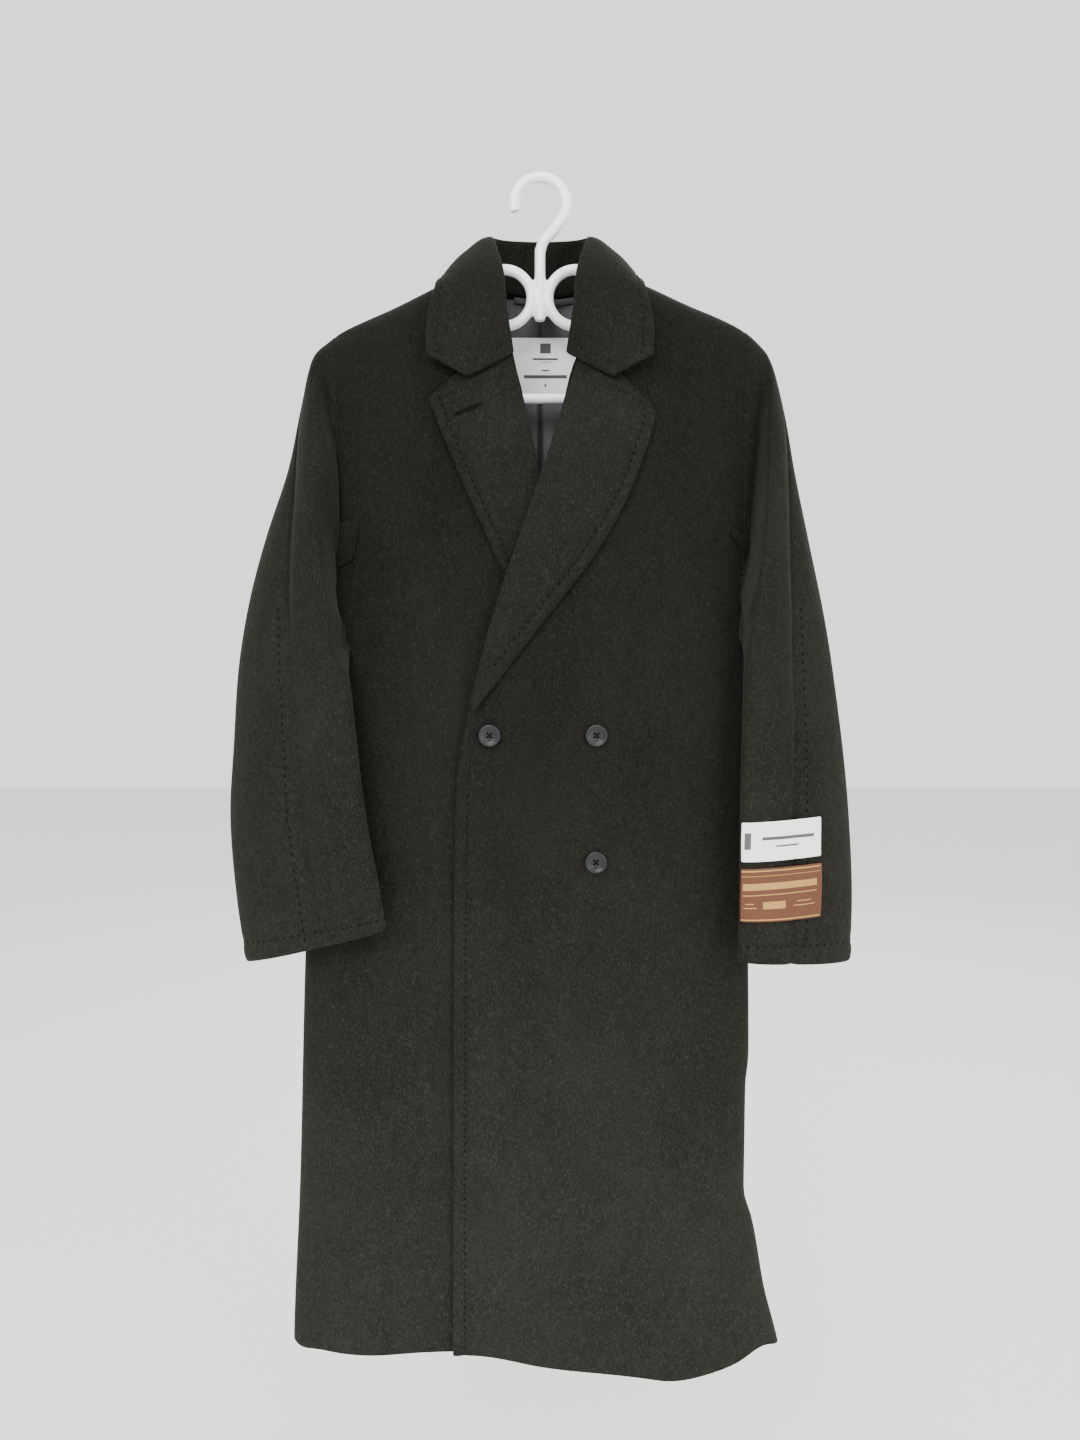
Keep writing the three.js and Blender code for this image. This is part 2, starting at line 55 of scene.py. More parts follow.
# ---- Sizes, in millimetres: the same driving dimensions as the solids ----
WOOL = 3.0
GAP = 0.4
LINING = 1.2
HALF_DEPTH = 46.0
ROUNDNESS = 2.2
OVERLAP_RAISE = 7.3
LAPEL_RAISE = 7.0
LAPEL = 3.6
ARMHOLE = 216.5  # from the centre to the seam where a sleeve is set
UNDERARM = -400.0
LINING_HEM = -1215.0
BACK_HEM = -1250.0
STITCH_IN = 12.0  # pick stitches, in from an edge
STITCH_PITCH = 8.0
SLEEVE_LONG = 620.0  # armhole to cuff, about
LAPEL_LONG = 330.0
COLLAR_LONG = 620.0
COLLAR_STEP = 42.0  # across the collar, for each quarter of its profile
BUTTON_HOLE_OUT = 1.9
BUTTON_RADIUS = 11.5
BUTTON_THICK = 4.0
CLOSING_BUTTON = (-52.0, -570.0)
BUTTON_COLUMN = 58.0
BUTTON_LOW = 132.0
TUBE_RADIUS = 5.75
HOOK_RADIUS = 27.2  # of the tube's centre line
RING_RADIUS = 28.75
RING_OUT = 37.4
RING_HEIGHT = -116.0
BAR_HEIGHT = -219.0
SMALLEST_FLAT = 0.0101  # metres, the least length that a sheet's flat cut is worked out with

LEFT_SIDE = [
    (-92, -72), (-107, -106), (-131, -157), (-142.5, -184.6), (-153, -207.6), (-162.5, -221), (-175, -236),
    (-200, -243),
    (-400, -222), (-500, -230), (-600, -240), (-700, -250), (-821, -257), (-1070, -267),
    (-1251, -277), (-1300, -278),
]
RIGHT_SIDE = [
    (-92, 72), (-105, 106), (-129, 161.4), (-139.6, 188.5), (-151, 212), (-161, 225), (-175, 238),
    (-200, 247),
    (-400, 222), (-600, 224), (-821, 228), (-931, 230), (-960, 227), (-1083, 227),
    (-1113, 236), (-1198, 252), (-1265, 269), (-1300, 272),
]
FRONT_HEM = [
    (-320, -1256), (-277, -1254), (-266, -1256), (-239, -1252), (-196, -1253), (-121, -1246), (-75, -1244),
    (0, -1257), (105, -1269), (144, -1276), (212, -1266), (248, -1254), (268, -1260), (320, -1266),
]
OUTER_EDGE = [
    (-1290, -92), (-1000, -90), (-800, -88), (-640, -85), (-590, -81), (-543, -71),
    (-475, -52), (-409, -33), (-345, -12), (-282, 8), (-237, 22), (-194, 34), (-160, 50),
    (-128, 66), (-92, 72),
]
UNDER_EDGE = [
    (-1290, 84), (-600, 84), (-560, 62), (-410, 30), (-298, -1), (-245, -13), (-196, -26),
    (-160, -48), (-128, -66), (-92, -72),
]


# ---- Curves ----
def smooth(a, b, v):
    t = np.clip((np.asarray(v, float) - a) / (b - a), 0, 1)
    return t * t * (3 - 2 * t)


def mix(a, b, t):
    return a + (b - a) * t


def look_up(pairs, place):
    """A smooth curve through (place, value) pairs that never overshoots them."""
    pairs = sorted(pairs)
    x = np.array([p for p, _ in pairs], float)
    y = np.array([v for _, v in pairs], float)
    slope = np.diff(y) / np.diff(x)
    m = np.concatenate([[slope[0]], (slope[:-1] + slope[1:]) / 2, [slope[-1]]])
    flat = slope[:-1] * slope[1:] <= 0
    m[1:-1][flat] = 0
    v = np.clip(np.asarray(place, float), x[0], x[-1])
    k = np.clip(np.searchsorted(x, v) - 1, 0, len(x) - 2)
    h = x[k + 1] - x[k]
    t = (v - x[k]) / h
    a = (2 * t**3 - 3 * t**2 + 1) * y[k] + (t**3 - 2 * t**2 + t) * h * m[k]
    return a + (-2 * t**3 + 3 * t**2) * y[k + 1] + (t**3 - t**2) * h * m[k + 1]


def along(points, t):
    """A Catmull-Rom curve through evenly weighted points, at t from 0 to 1."""
    p = np.array(points, float)
    p = np.vstack([2 * p[0] - p[1], p, 2 * p[-1] - p[-2]])
    s = np.clip(np.asarray(t, float), 0, 1) * (len(points) - 1)
    k = np.clip(s.astype(int), 0, len(points) - 2)
    f = (s - k)[..., None]
    a, b, c, d = p[k], p[k + 1], p[k + 2], p[k + 3]
    return 0.5 * (2 * b + (c - a) * f + (2 * a - 5 * b + 4 * c - d) * f**2 + (3 * b - a - 3 * c + d) * f**3)


def waves(x, z, seed, scale):
    """A smooth random height from a few slanted sine waves."""
    rng = np.random.default_rng(seed)
    total = np.zeros(np.broadcast(x, z).shape)
    for _ in range(7):
        fx, fz = rng.uniform(0.4, 1.6) / scale, rng.uniform(0.1, 0.5) / scale
        total = total + np.sin(x * fx * 2 * math.pi + z * fz * 2 * math.pi + rng.uniform(0, 6.3))
    return total / 7


# ---- The body's surface ----
def sides(z):
    return look_up(LEFT_SIDE, z), look_up(RIGHT_SIDE, z)


def front_drape(x, z):
    """Soft vertical folds that deepen towards the hem, and a hollow chest; positive is inwards."""
    deep = smooth(-620, -1230, z)
    folds = np.sin(x / 34 + 0.6 + z / 900) * 1.6 + np.sin(x / 61 - 1.0 - z / 400) * 3.2
    drag = 2.2 * np.exp(-(((x - 130 - (z + 700) * 0.28) / 42) ** 2)) * smooth(-560, -900, z)
    chest = 3.0 * waves(x, z, 4, 260) * smooth(-180, -330, z)
    return deep * folds + drag + chest


def back_drape(x, z):
    folds = np.sin(x / 40 + 0.3 + z / 800) * 3.0 + np.sin(x / 75 - z / 500) * 4.0
    return -smooth(-500, -1230, z) * folds - 2.5 * waves(x, z, 9, 240) * smooth(-200, -360, z)


def overlap_raise(x, z):
    crossing = LAPEL_RAISE * smooth(-530, -465, z) * (1 - smooth(40, 110, x))
    return (OVERLAP_RAISE + crossing) * (1 - smooth(90, 195, x)) * smooth(-190, -280, z)


def body_point(angle, z, depth, lifted=False, back=False):
    """A point of the body's section at an angle, depth millimetres inside its outer surface."""
    left, right = sides(z)
    middle, half = (left + right) / 2, (right - left) / 2

    def power(v):
        return np.sign(v) * np.abs(v) ** (2 / ROUNDNESS)

    x0 = middle + half * power(np.cos(angle))
    lift = (overlap_raise(x0, z) if lifted else 0) - depth
    x = middle + (half + lift) * power(np.cos(angle))
    y = (HALF_DEPTH + lift) * power(np.sin(angle))
    drape = back_drape(x0, z) if back else front_drape(x0, z)
    y = y + drape * np.clip(np.abs(y) / 30, 0, 1) ** 1.5
    return np.stack([x, y, np.broadcast_to(z, x.shape)], -1)


def angle_at(x, z, back=False):
    left, right = sides(z)
    across = np.clip((x - (left + right) / 2) / ((right - left) / 2), -1, 1)
    angle = np.arccos(np.sign(across) * np.abs(across) ** (ROUNDNESS / 2))
    return angle if back else -angle


def front_point(x, z, raised, lifted):
    """The front surface at x and z, raised millimetres off it."""
    return body_point(angle_at(x, z), z, -raised, lifted)


# ---- Meshes ----
def make_object(name, points, faces, material, smooth_shading=True):
    mesh = bpy.data.meshes.new(name)
    mesh.from_pydata([tuple(p) for p in np.asarray(points) * MM], [], faces)
    mesh.validate()
    mesh.materials.append(material)
    if smooth_shading:
        mesh.polygons.foreach_set("use_smooth", [True] * len(mesh.polygons))
    obj = bpy.data.objects.new(name, mesh)
    bpy.context.scene.collection.objects.link(obj)
    return obj


def grid_faces(nv, nu, closed):
    faces = []
    last = nu if closed else nu - 1
    for j in range(nv - 1):
        for i in range(last):
            k = (i + 1) % nu
            faces.append((j * nu + i, j * nu + k, (j + 1) * nu + k, (j + 1) * nu + i))
    return faces


def sheet_mesh(name, points, material, thick, closed=False, levels=1, inward=None):
    """A sheet over a grid of outer points, thickened inwards and rounded at its rims."""
    nv, nu, _ = points.shape
    faces = grid_faces(nv, nu, closed)
    obj = make_object(name, points.reshape(-1, 3), faces, material)
    if inward is not None:
        turn_faces(obj, inward)
    solid = obj.modifiers.new("thickness", "SOLIDIFY")
    solid.thickness = thick * MM
    solid.offset = -1
    if levels:
        rounding = obj.modifiers.new("rounding", "SUBSURF")
        rounding.levels = levels
        rounding.render_levels = levels
    apply_modifiers(obj)
    return obj


def turn_faces(obj, inward):
    """Faces turned so that they look away from the inward point, or from a line up through it."""
    mesh = obj.data
    score = 0.0
    for face in mesh.polygons:
        out = face.center / MM - Vector(inward)
        out.z = 0
        score += face.normal.dot(out) * face.area
    if score < 0:
        mesh.flip_normals()


def apply_modifiers(obj):
    bpy.context.view_layer.update()
    graph = bpy.context.evaluated_depsgraph_get()
    shaped = obj.evaluated_get(graph)
    mesh = bpy.data.meshes.new_from_object(shaped, preserve_all_data_layers=True, depsgraph=graph)
    obj.modifiers.clear()
    obj.data = mesh


def grid_area(points):
    a, b = points[:-1, :-1], points[1:, 1:]
    c, d = points[1:, :-1], points[:-1, 1:]
    return float(np.linalg.norm(np.cross(b - a, c - d), axis=-1).sum() / 2) * MM * MM


def declare_cloth(points):
    """Works out the cloth's flat cut from the sheet's own width, length and area, and keeps none of it."""
    width = np.linalg.norm(np.diff(points, axis=1), axis=-1).sum(1).max() * MM
    length = np.linalg.norm(np.diff(points, axis=0), axis=-1).sum(0).max() * MM
    length = max(length, SMALLEST_FLAT)
    area = min(grid_area(points), width * length)


def finish_piece(obj, slot, body, nodes=()):
    if body:
        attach(obj, body)
    if nodes:
        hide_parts(*nodes)
    return obj


# ---- Shader maths ----
class Socket:
    """A shader socket that adds Math nodes when it is used in an expression."""

    def __init__(self, graph, socket):
        self.graph, self.socket = graph, socket

    def _maths(self, operation, other, flipped=False):
        pair = (other, self) if flipped else (self, other)
        return self.graph.node("ShaderNodeMath", {"operation": operation}, pair)

    def __add__(self, other):
        return self._maths("ADD", other)

    def __sub__(self, other):
        return self._maths("SUBTRACT", other)

    def __rsub__(self, other):
        return self._maths("SUBTRACT", other, True)

    def __mul__(self, other):
        return self._maths("MULTIPLY", other)

    def __gt__(self, other):
        return self._maths("GREATER_THAN", other)

    def __lt__(self, other):
        return self._maths("LESS_THAN", other)

    __radd__ = __add__
    __rmul__ = __mul__


class Graph:
    """A material's nodes, made one call at a time."""

    def __init__(self, name):
        self.material = bpy.data.materials.new(name)
        self.material.use_nodes = True
        self.tree = self.material.node_tree
        self.shader = self.tree.nodes["Principled BSDF"]

    def node(self, kind, settings=None, inputs=(), output=0):
        made = self.tree.nodes.new(kind)
        for key, value in (settings or {}).items():
            setattr(made, key, value)
        places = inputs.items() if isinstance(inputs, dict) else enumerate(inputs)
        for key, value in places:
            self.feed(made.inputs[key], value)
        return Socket(self, made.outputs[output])

    def feed(self, place, value):
        if isinstance(value, Socket):
            self.tree.links.new(value.socket, place)
        else:
            place.default_value = value

    def set(self, **values):
        for key, value in values.items():
            self.feed(self.shader.inputs[key.replace("_", " ")], value)

    def coordinates(self, scale=(1, 1, 1)):
        place = self.node("ShaderNodeTexCoord", output=3)
        return self.node("ShaderNodeVectorMath", {"operation": "MULTIPLY"}, (place, scale))

    def noise(self, scale, detail=2.0, stretch=(1, 1, 1), roughness=0.5):
        inputs = {"Vector": self.coordinates(stretch), "Scale": scale, "Detail": detail}
        inputs["Roughness"] = roughness
        return self.node("ShaderNodeTexNoise", {}, inputs)

    def remap(self, value, low, high, new_low=0.0, new_high=1.0):
        inputs = {0: value, 1: low, 2: high, 3: new_low, 4: new_high}
        return self.node("ShaderNodeMapRange", {"clamp": True}, inputs)

    def blend(self, factor, a, b):
        a, b = ((*colour, 1) if isinstance(colour, tuple) else colour for colour in (a, b))
        inputs = {0: factor, 6: a, 7: b}
        return self.node("ShaderNodeMix", {"data_type": "RGBA"}, inputs, output=2)

    def bump(self, height, distance, strength=1.0, onto=None):
        inputs = {"Height": height, "Distance": distance, "Strength": strength}
        if onto:
            inputs["Normal"] = onto
        return self.node("ShaderNodeBump", {}, inputs)


# ---- Materials ----
WOOL_DARK = (0.0075, 0.0070, 0.0050)
WOOL_MID = (0.0235, 0.0228, 0.0186)
WOOL_PALE = (0.050, 0.0490, 0.0405)


def wool_material(name, shade_by_height):
    """Brushed wool: a downward nap of fine fibres over a soft mottle.

    The (height, brightness) pairs are painted shade: the colour is darkened towards the top, standing in for
    the shade on the upper coat and the brighter light at the hem.
    """
    g = Graph(name)
    fibres = g.noise(1500, 3.0, (1, 1, 0.30), 0.7)
    flecks = g.noise(620, 2.0, (1, 1, 0.45), 0.6)
    mottle = g.noise(105, 4.0, (1, 1, 0.55), 0.65)
    cloud = g.noise(13, 3.0, (1, 1, 0.5))
    height = g.node("ShaderNodeSeparateXYZ", {}, (g.coordinates(),), 2)
    # Painted shade: the base colour is darkened by height, most at the top.
    painted_shade = shade_by_height[0][1]
    for (z0, a), (z1, b) in zip(shade_by_height, shade_by_height[1:]):
        painted_shade = g.remap(height, z0, z1, 0.0, b - a) + painted_shade
    tone = fibres * 0.40 + flecks * 0.30 + mottle * 0.26 + cloud * 0.22
    lit = g.remap(tone, 0.42, 0.74)
    base = g.blend(lit, WOOL_DARK, WOOL_MID)
    strands = g.remap(fibres * 0.6 + flecks * 0.5, 0.58, 0.72)
    nap = g.blend(strands * 0.6, base, WOOL_PALE)
    g.set(Base_Color=g.blend(painted_shade, (0.0, 0.0, 0.0), nap))
    g.set(Roughness=g.remap(mottle, 0.3, 0.7, 0.84, 0.96))
    fuzz = g.bump(fibres * 0.5 + flecks * 0.5, 0.0014, 0.6)
    g.set(Normal=g.bump(mottle + cloud * 1.5, 0.0030, 0.45, fuzz))
    g.set(Sheen_Weight=0.05, Sheen_Roughness=0.4, Specular_IOR_Level=0.06)
    g.shader.inputs["Sheen Tint"].default_value = (0.75, 0.73, 0.64, 1)
    return g.material


def satin_material(name, colour, pale, roughness=0.34):
    """Satin: long fine floats across a smooth face."""
    g = Graph(name)
    floats = g.noise(1500, 2.0, (0.25, 0.25, 2.0), 0.6)
    cloud = g.noise(30, 2.0)
    g.set(Base_Color=g.blend(floats * 0.7 + cloud * 0.3, colour, pale))
    g.set(Roughness=g.remap(cloud, 0.3, 0.7, roughness, roughness + 0.14))
    g.set(Normal=g.bump(floats, 0.0004, 0.35))
    g.set(Sheen_Weight=0.05, Sheen_Roughness=0.3, Specular_IOR_Level=0.25)
    return g.material


def plastic_material():
    """White moulded plastic with a faint orange peel and light scuffs."""
    g = Graph("white_moulding")
    cloud = g.noise(45, 2.0)
    scuffs = g.remap(g.noise(420, 4.0, (1, 1, 0.2), 0.7), 0.60, 0.72)
    g.set(Base_Color=g.blend(cloud, (0.80, 0.82, 0.84), (0.86, 0.88, 0.90)))
    g.set(Roughness=0.20 + scuffs * 0.18 + cloud * 0.05)
    g.set(Normal=g.bump(g.noise(260, 2.0), 0.0003, 0.25))
    g.set(Coat_Weight=0.25, Coat_Roughness=0.12, Specular_IOR_Level=0.5, Subsurface_Weight=0.0)
    return g.material


def button_material():
    g = Graph("dark_button")
    grain = g.noise(240, 3.0, (1, 1, 3))
    g.set(Base_Color=g.blend(grain, (0.0045, 0.0045, 0.0055), (0.012, 0.012, 0.014)))
    g.set(Roughness=g.remap(grain, 0.3, 0.7, 0.26, 0.40))
    g.set(Normal=g.bump(grain, 0.0003, 0.15))
    g.set(Coat_Weight=0.12, Coat_Roughness=0.25, Specular_IOR_Level=0.25)
    return g.material


def thread_material(name, dark, pale):
    g = Graph(name)
    inputs = {"Vector": g.coordinates(), "Scale": 1400.0}
    twist = g.node("ShaderNodeTexWave", {"bands_direction": "DIAGONAL"}, inputs)
    g.set(Base_Color=g.blend(twist, dark, pale))
    g.set(Roughness=g.remap(twist, 0, 1, 0.7, 0.9), Specular_IOR_Level=0.08)
    g.set(Normal=g.bump(twist, 0.0003, 0.6))
    return g.material


def woven_material(name, ground, raised, fine=1500.0):
    """A woven label's ground: crossing warp and weft."""
    g = Graph(name)
    place = g.coordinates()
    warp = g.node("ShaderNodeTexWave", {"bands_direction": "X"}, {"Vector": place, "Scale": fine / 6.3})
    weft = g.node("ShaderNodeTexWave", {"bands_direction": "Z"}, {"Vector": place, "Scale": fine / 5.0})
    weave = warp * 0.5 + weft * 0.5
    g.set(Base_Color=g.blend(weave * 0.7 + g.noise(60, 2.0) * 0.3, ground, raised))
    g.set(Roughness=g.remap(weave, 0, 1, 0.55, 0.75))
    g.set(Normal=g.bump(weave, 0.0002, 0.35))
    return g.material


# One wool in three copies that differ only in their painted shade by height: body, sleeves, and lapels with
# collar.
WOOL_CLOTH = wool_material("wool_coating", [(-0.15, 0.34), (-0.60, 0.50), (-1.15, 0.88)])
SLEEVE_WOOL = wool_material("sleeve_coating", [(-0.17, 0.36), (-0.30, 0.50), (-0.80, 0.72)])
LAPEL_WOOL = wool_material("lapel_coating", [(-0.10, 0.40), (-0.25, 0.55), (-0.50, 0.54)])
SATIN = satin_material("grey_satin", (0.026, 0.026, 0.028), (0.046, 0.046, 0.049))
LOOP_SATIN = satin_material("loop_satin", (0.020, 0.020, 0.022), (0.036, 0.036, 0.039), 0.3)
HANGER_PLASTIC = plastic_material()
BUTTON_PLASTIC = button_material()
DARK_THREAD = thread_material("dark_thread", (0.0020, 0.0020, 0.0016), (0.0050, 0.0048, 0.0040))
PALE_THREAD = thread_material("pale_thread", (0.20, 0.19, 0.16), (0.40, 0.38, 0.33))
WHITE_LABEL = woven_material("white_label", (0.78, 0.78, 0.765), (0.88, 0.88, 0.865))
BROWN_LABEL = woven_material("brown_label", (0.070, 0.016, 0.001), (0.100, 0.025, 0.002))
GOLD_THREAD = thread_material("gold_thread", (0.36, 0.20, 0.060), (0.52, 0.31, 0.10))
GREY_THREAD = thread_material("grey_thread", (0.07, 0.07, 0.07), (0.13, 0.13, 0.13))


# ---- Front and back panels ----
def height_steps(top, bottom, shoulder=26, rest=96):
    """Rows that are close together over the sloping shoulder and even below it."""
    upper = -92 - (168 - 92) * np.linspace(0, 1, shoulder)
    lower = np.linspace(-172, bottom + 9, rest)
    rows = np.concatenate([upper, lower, [bottom + 5, bottom + 2, bottom + 0.6, bottom]])
    return rows[rows <= top + 0.01]


EDGE_STEPS = np.array([0, 1.5, 4, 7, 10, STITCH_IN, 14, 18, 24, 32])


def column_fractions(width, count):
    """Columns that are close together by the finished edge, then even."""
    near = EDGE_STEPS / width
    return np.concatenate([near, np.linspace(near[-1], 1, count)[1:]])


def front_columns(edge_list, side, z, count):
    """Angles of one row of a front, from its finished edge round to its side seam."""
    edge = float(look_up(edge_list, z))
    start = float(angle_at(edge, z))
    silhouette = 0.0 if side > 0 else -math.pi
    at_armhole = float(angle_at(side * ARMHOLE, z))
    left, right = sides(z)
    reach = right if side > 0 else -left
    seam = silhouette + side * 0.03
    if reach > ARMHOLE:
        seam = mix(at_armhole, seam, float(smooth(UNDERARM + 10, UNDERARM - 8, z)))
    width = abs(min(float(reach), ARMHOLE) * side - edge) + 8
    f = column_fractions(width, count)
    # Even in x close to the edge, and even in angle by the side.
    x_even = edge + side * f * width
    by_x = angle_at(np.clip(x_even, float(left), float(right)), z)
    by_angle = mix(start, seam, f)
    turn = smooth(0.35, 0.8, f)
    angles = by_x * (1 - turn) + by_angle * turn
    angles[-1] = seam
    return angles


def edge_relief(columns, depth=1.1):
    """The rounded bead outside a row of pick stitches, and the valley along it; millimetres in."""
    d = EDGE_STEPS
    bead = -0.7 * np.exp(-(((d - 6) / 3.4) ** 2))
    valley = depth * np.exp(-(((d - STITCH_IN) / 1.9) ** 2))
    relief = np.zeros(columns)
    relief[: len(d)] = bead + valley
    return relief


def front_grid(edge_list, side, lifted, depth=0.0, relief=True, hem=FRONT_HEM, count=46, top=-92):
    rows = height_steps(top, -1250)
    grid = []
    for row in rows:
        angles = front_columns(edge_list, side, row, count)
        z = np.full(angles.shape, row)
        x = body_point(angles, z, depth, lifted)[:, 0]
        stretch = (look_up(hem, x) + 1250) * smooth(-700, -1250, row)
        z = z + stretch
        inset = depth + (edge_relief(len(angles)) if relief else 0)
        grid.append(body_point(angles, z, inset, lifted))
    return np.array(grid)


def back_grid(side, depth, bottom, count=40, seam=-0.3, top=-92):
    rows = height_steps(top, bottom)
    grid = []
    for row in rows:
        left, right = sides(row)
        reach = right if side > 0 else -left
        start = float(angle_at(side * seam, row, True))
        end = -0.03 if side > 0 else math.pi + 0.03
        if reach > ARMHOLE:
            at_armhole = float(angle_at(side * ARMHOLE, row, True))
            end = mix(at_armhole, end, float(smooth(UNDERARM + 10, UNDERARM - 8, row)))
        f = np.linspace(0, 1, count)
        f = np.concatenate([[0, 0.012, 0.03], f[2:]])
        groove = 1.4 * np.exp(-((f / 0.012) ** 2)) if depth == 0 else 0
        grid.append(body_point(mix(start, end, f), np.full(f.shape, row), depth + groove, False, True))
    return np.array(grid)


INSIDE = (0.0, 0.0, -600.0)


def blend_at_fold(obj):
    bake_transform(obj)


def make_fronts():
    outer = front_grid(OUTER_EDGE, 1, True)
    obj = sheet_mesh("outer_front_cloth", outer, WOOL_CLOTH, WOOL, inward=INSIDE)
    finish_piece(obj, "wool", None, ["outer_front", "outer_front_skirt"])
    declare_cloth(outer)
    blend_at_fold(obj)
    under = front_grid(UNDER_EDGE, -1, False)
    obj = sheet_mesh("under_front_cloth", under, WOOL_CLOTH, WOOL, inward=INSIDE)
    finish_piece(obj, "wool", "coat", ["under_front"])
    declare_cloth(under)


def make_front_insides():
    """The wool facing behind each front edge, then the satin lining beyond it."""
    inner = WOOL + GAP
    hem = [(-400, LINING_HEM), (400, LINING_HEM)]
    split = 14
    for name, edge, side, lifted in (
        ("outer_front", OUTER_EDGE, 1, True),
        ("under_front", UNDER_EDGE, -1, False),
    ):
        facing = front_grid(edge, side, lifted, inner, False)[:, : split + 1]
        lining = front_grid(edge, side, lifted, inner, False, hem)[:, split:]
        pieces = (
            (facing, "facing", WOOL_CLOTH, WOOL - 0.3, "wool"),
            (lining, "lining", SATIN, LINING, "lining"),
        )
        for grid, kind, material, thick, slot in pieces:
            obj = sheet_mesh(f"{name}_{kind}_cloth", grid, material, thick, levels=0, inward=INSIDE)
            nodes = [f"{name}_{kind}"] + ([f"{name}_{kind}_skirt"] if lifted else [])
            finish_piece(obj, slot, None if lifted else "coat", nodes)
            declare_cloth(grid)
            if lifted:
                blend_at_fold(obj)


def make_back():
    for name, side in (("left", 1), ("right", -1)):
        grid = back_grid(side, 0.0, BACK_HEM)
        obj = sheet_mesh(f"back_panel_{name}_cloth", grid, WOOL_CLOTH, WOOL, inward=INSIDE)
        finish_piece(obj, "wool", "coat", [f"back_panel_{name}"])
        declare_cloth(grid)
        lining = back_grid(side, WOOL + GAP + 0.8, LINING_HEM, top=-104)
        pleat = 1.8 * np.exp(-(((lining[..., 0] - 11) / 2.2) ** 2)) * smooth(-212, -235, lining[..., 2])
        lining[..., 1] -= pleat
        obj = sheet_mesh(f"back_lining_{name}_cloth", lining, SATIN, LINING, levels=0, inward=INSIDE)
        finish_piece(obj, "lining", "coat", [f"back_lining_{name}"])
        declare_cloth(lining)
    rows = np.linspace(-95, -106, 8)
    angles = np.linspace(0.05, math.pi - 0.05, 60)
    grid = np.array([body_point(angles, np.full(60, z), WOOL + GAP, False, True) for z in rows])
    obj = sheet_mesh("back_neck_facing_cloth", grid, WOOL_CLOTH, WOOL - 0.4, inward=INSIDE)
    finish_piece(obj, "wool", "coat", ["back_neck_facing"])
    declare_cloth(grid)


# ---- Lapels ----
OUTER_LAPEL_ROLL = [(36, -192), (22, -237), (8, -282), (-12, -345), (-33, -409), (-52, -475), (-69, -538)]
OUTER_LAPEL_EDGE = [(111, -238), (110, -258), (84, -328), (52, -386), (16, -437), (-30, -500), (-64, -545)]
UNDER_LAPEL_ROLL = [(-24, -195), (-13, -245), (-1, -298), (14, -353), (28, -405), (38, -445)]
UNDER_LAPEL_EDGE = [(-112, -228), (-101, -255), (-86, -292), (-60, -352), (-33, -408), (10, -448)]


def full(v):
    """No easing: the lapel stands at its full lift all the way down."""
    return 1


def flatten(v):
    """The under lapel flattens towards its foot, where the outer front covers it."""
    return 1 - smooth(0.5, 0.9, v)


def lapel_columns():
    """Fractions across a lapel, with rows near its outer edge for the bead and stitches."""
    return np.concatenate([np.linspace(0, 0.74, 16), np.linspace(0.78, 1, 14)])


def lapel_surface(roll, edge, lifted, ends, u, v, out=0.0):
    """A point of a lapel's face. u runs from the roll line to the outer edge, v down the roll."""
    a, b = along(roll, v), along(edge, v)
    corner = 0.018 * np.exp(-v / 0.02)
    u_in = u * (1 - corner * smooth(0.9, 1.0, u))
    x, z = (a + (b - a) * u_in[..., None]).T
    z = z + 3.2 * np.sin(math.pi * np.clip(u, 0, 1)) * np.exp(-v / 0.05)
    swell = np.sin(math.pi * np.clip(u, 0, 1))
    lift = 1.6 + LAPEL + 2.8 * swell * ends(v) + 1.6 * smooth(0.55, 1.0, u) * ends(v)
    return front_point(x, z, lift + out, lifted)


def lapel_tongue(roll, edge, lifted, across):
    """The lapel's top carried on beneath the collar, along the collar's roll."""
    side = 1 if lifted else -1
    rows = []
    for f in np.linspace(1, 0.08, 9):
        inner = mix(np.array(roll[0], float), np.array([side * 34.0, -150.0]), f)
        notch = mix(np.array(edge[0], float), np.array([side * 66.0, -190.0]), f**0.35)
        x, z = (inner + (notch - inner) * across[:, None]).T
        rows.append(front_point(x, z, 1.6 + LAPEL - 1.4 * f, lifted))
    return np.array(rows)


def make_lapel(name, roll, edge, lifted, ends, node):
    across = lapel_columns()
    down = np.concatenate([[0, 0.004, 0.012, 0.025, 0.04], np.linspace(0.06, 1, 60)])
    grid = []
    for v in down:
        here = np.linalg.norm(along(edge, np.array([v])) - along(roll, np.array([v])))
        away = (1 - across) * here
        relief = bead(away) + bead(np.array(v * LAPEL_LONG)) * smooth(0.25, 0.5, across)
        relief = relief * (here > 30)
        grid.append(lapel_surface(roll, edge, lifted, ends, across, np.full(across.shape, v), relief))
    grid = np.concatenate([lapel_tongue(roll, edge, lifted, across), np.array(grid)])
    # The cloth turns back under itself along the roll line.
    turned = []
    for back, drop in ((5.0, 6.5), (2.2, 4.6), (0.3, 2.2)):
        rim = grid[:, :1].copy()
        rim[..., 0] += back * (1 if lifted else -1)
        rim[..., 1] += drop
        turned.append(rim)
    grid = np.concatenate(turned + [grid], axis=1)
    obj = sheet_mesh(name, grid, LAPEL_WOOL, LAPEL - 0.6, inward=INSIDE)
    finish_piece(obj, "wool", "coat", [node])
    declare_cloth(grid)


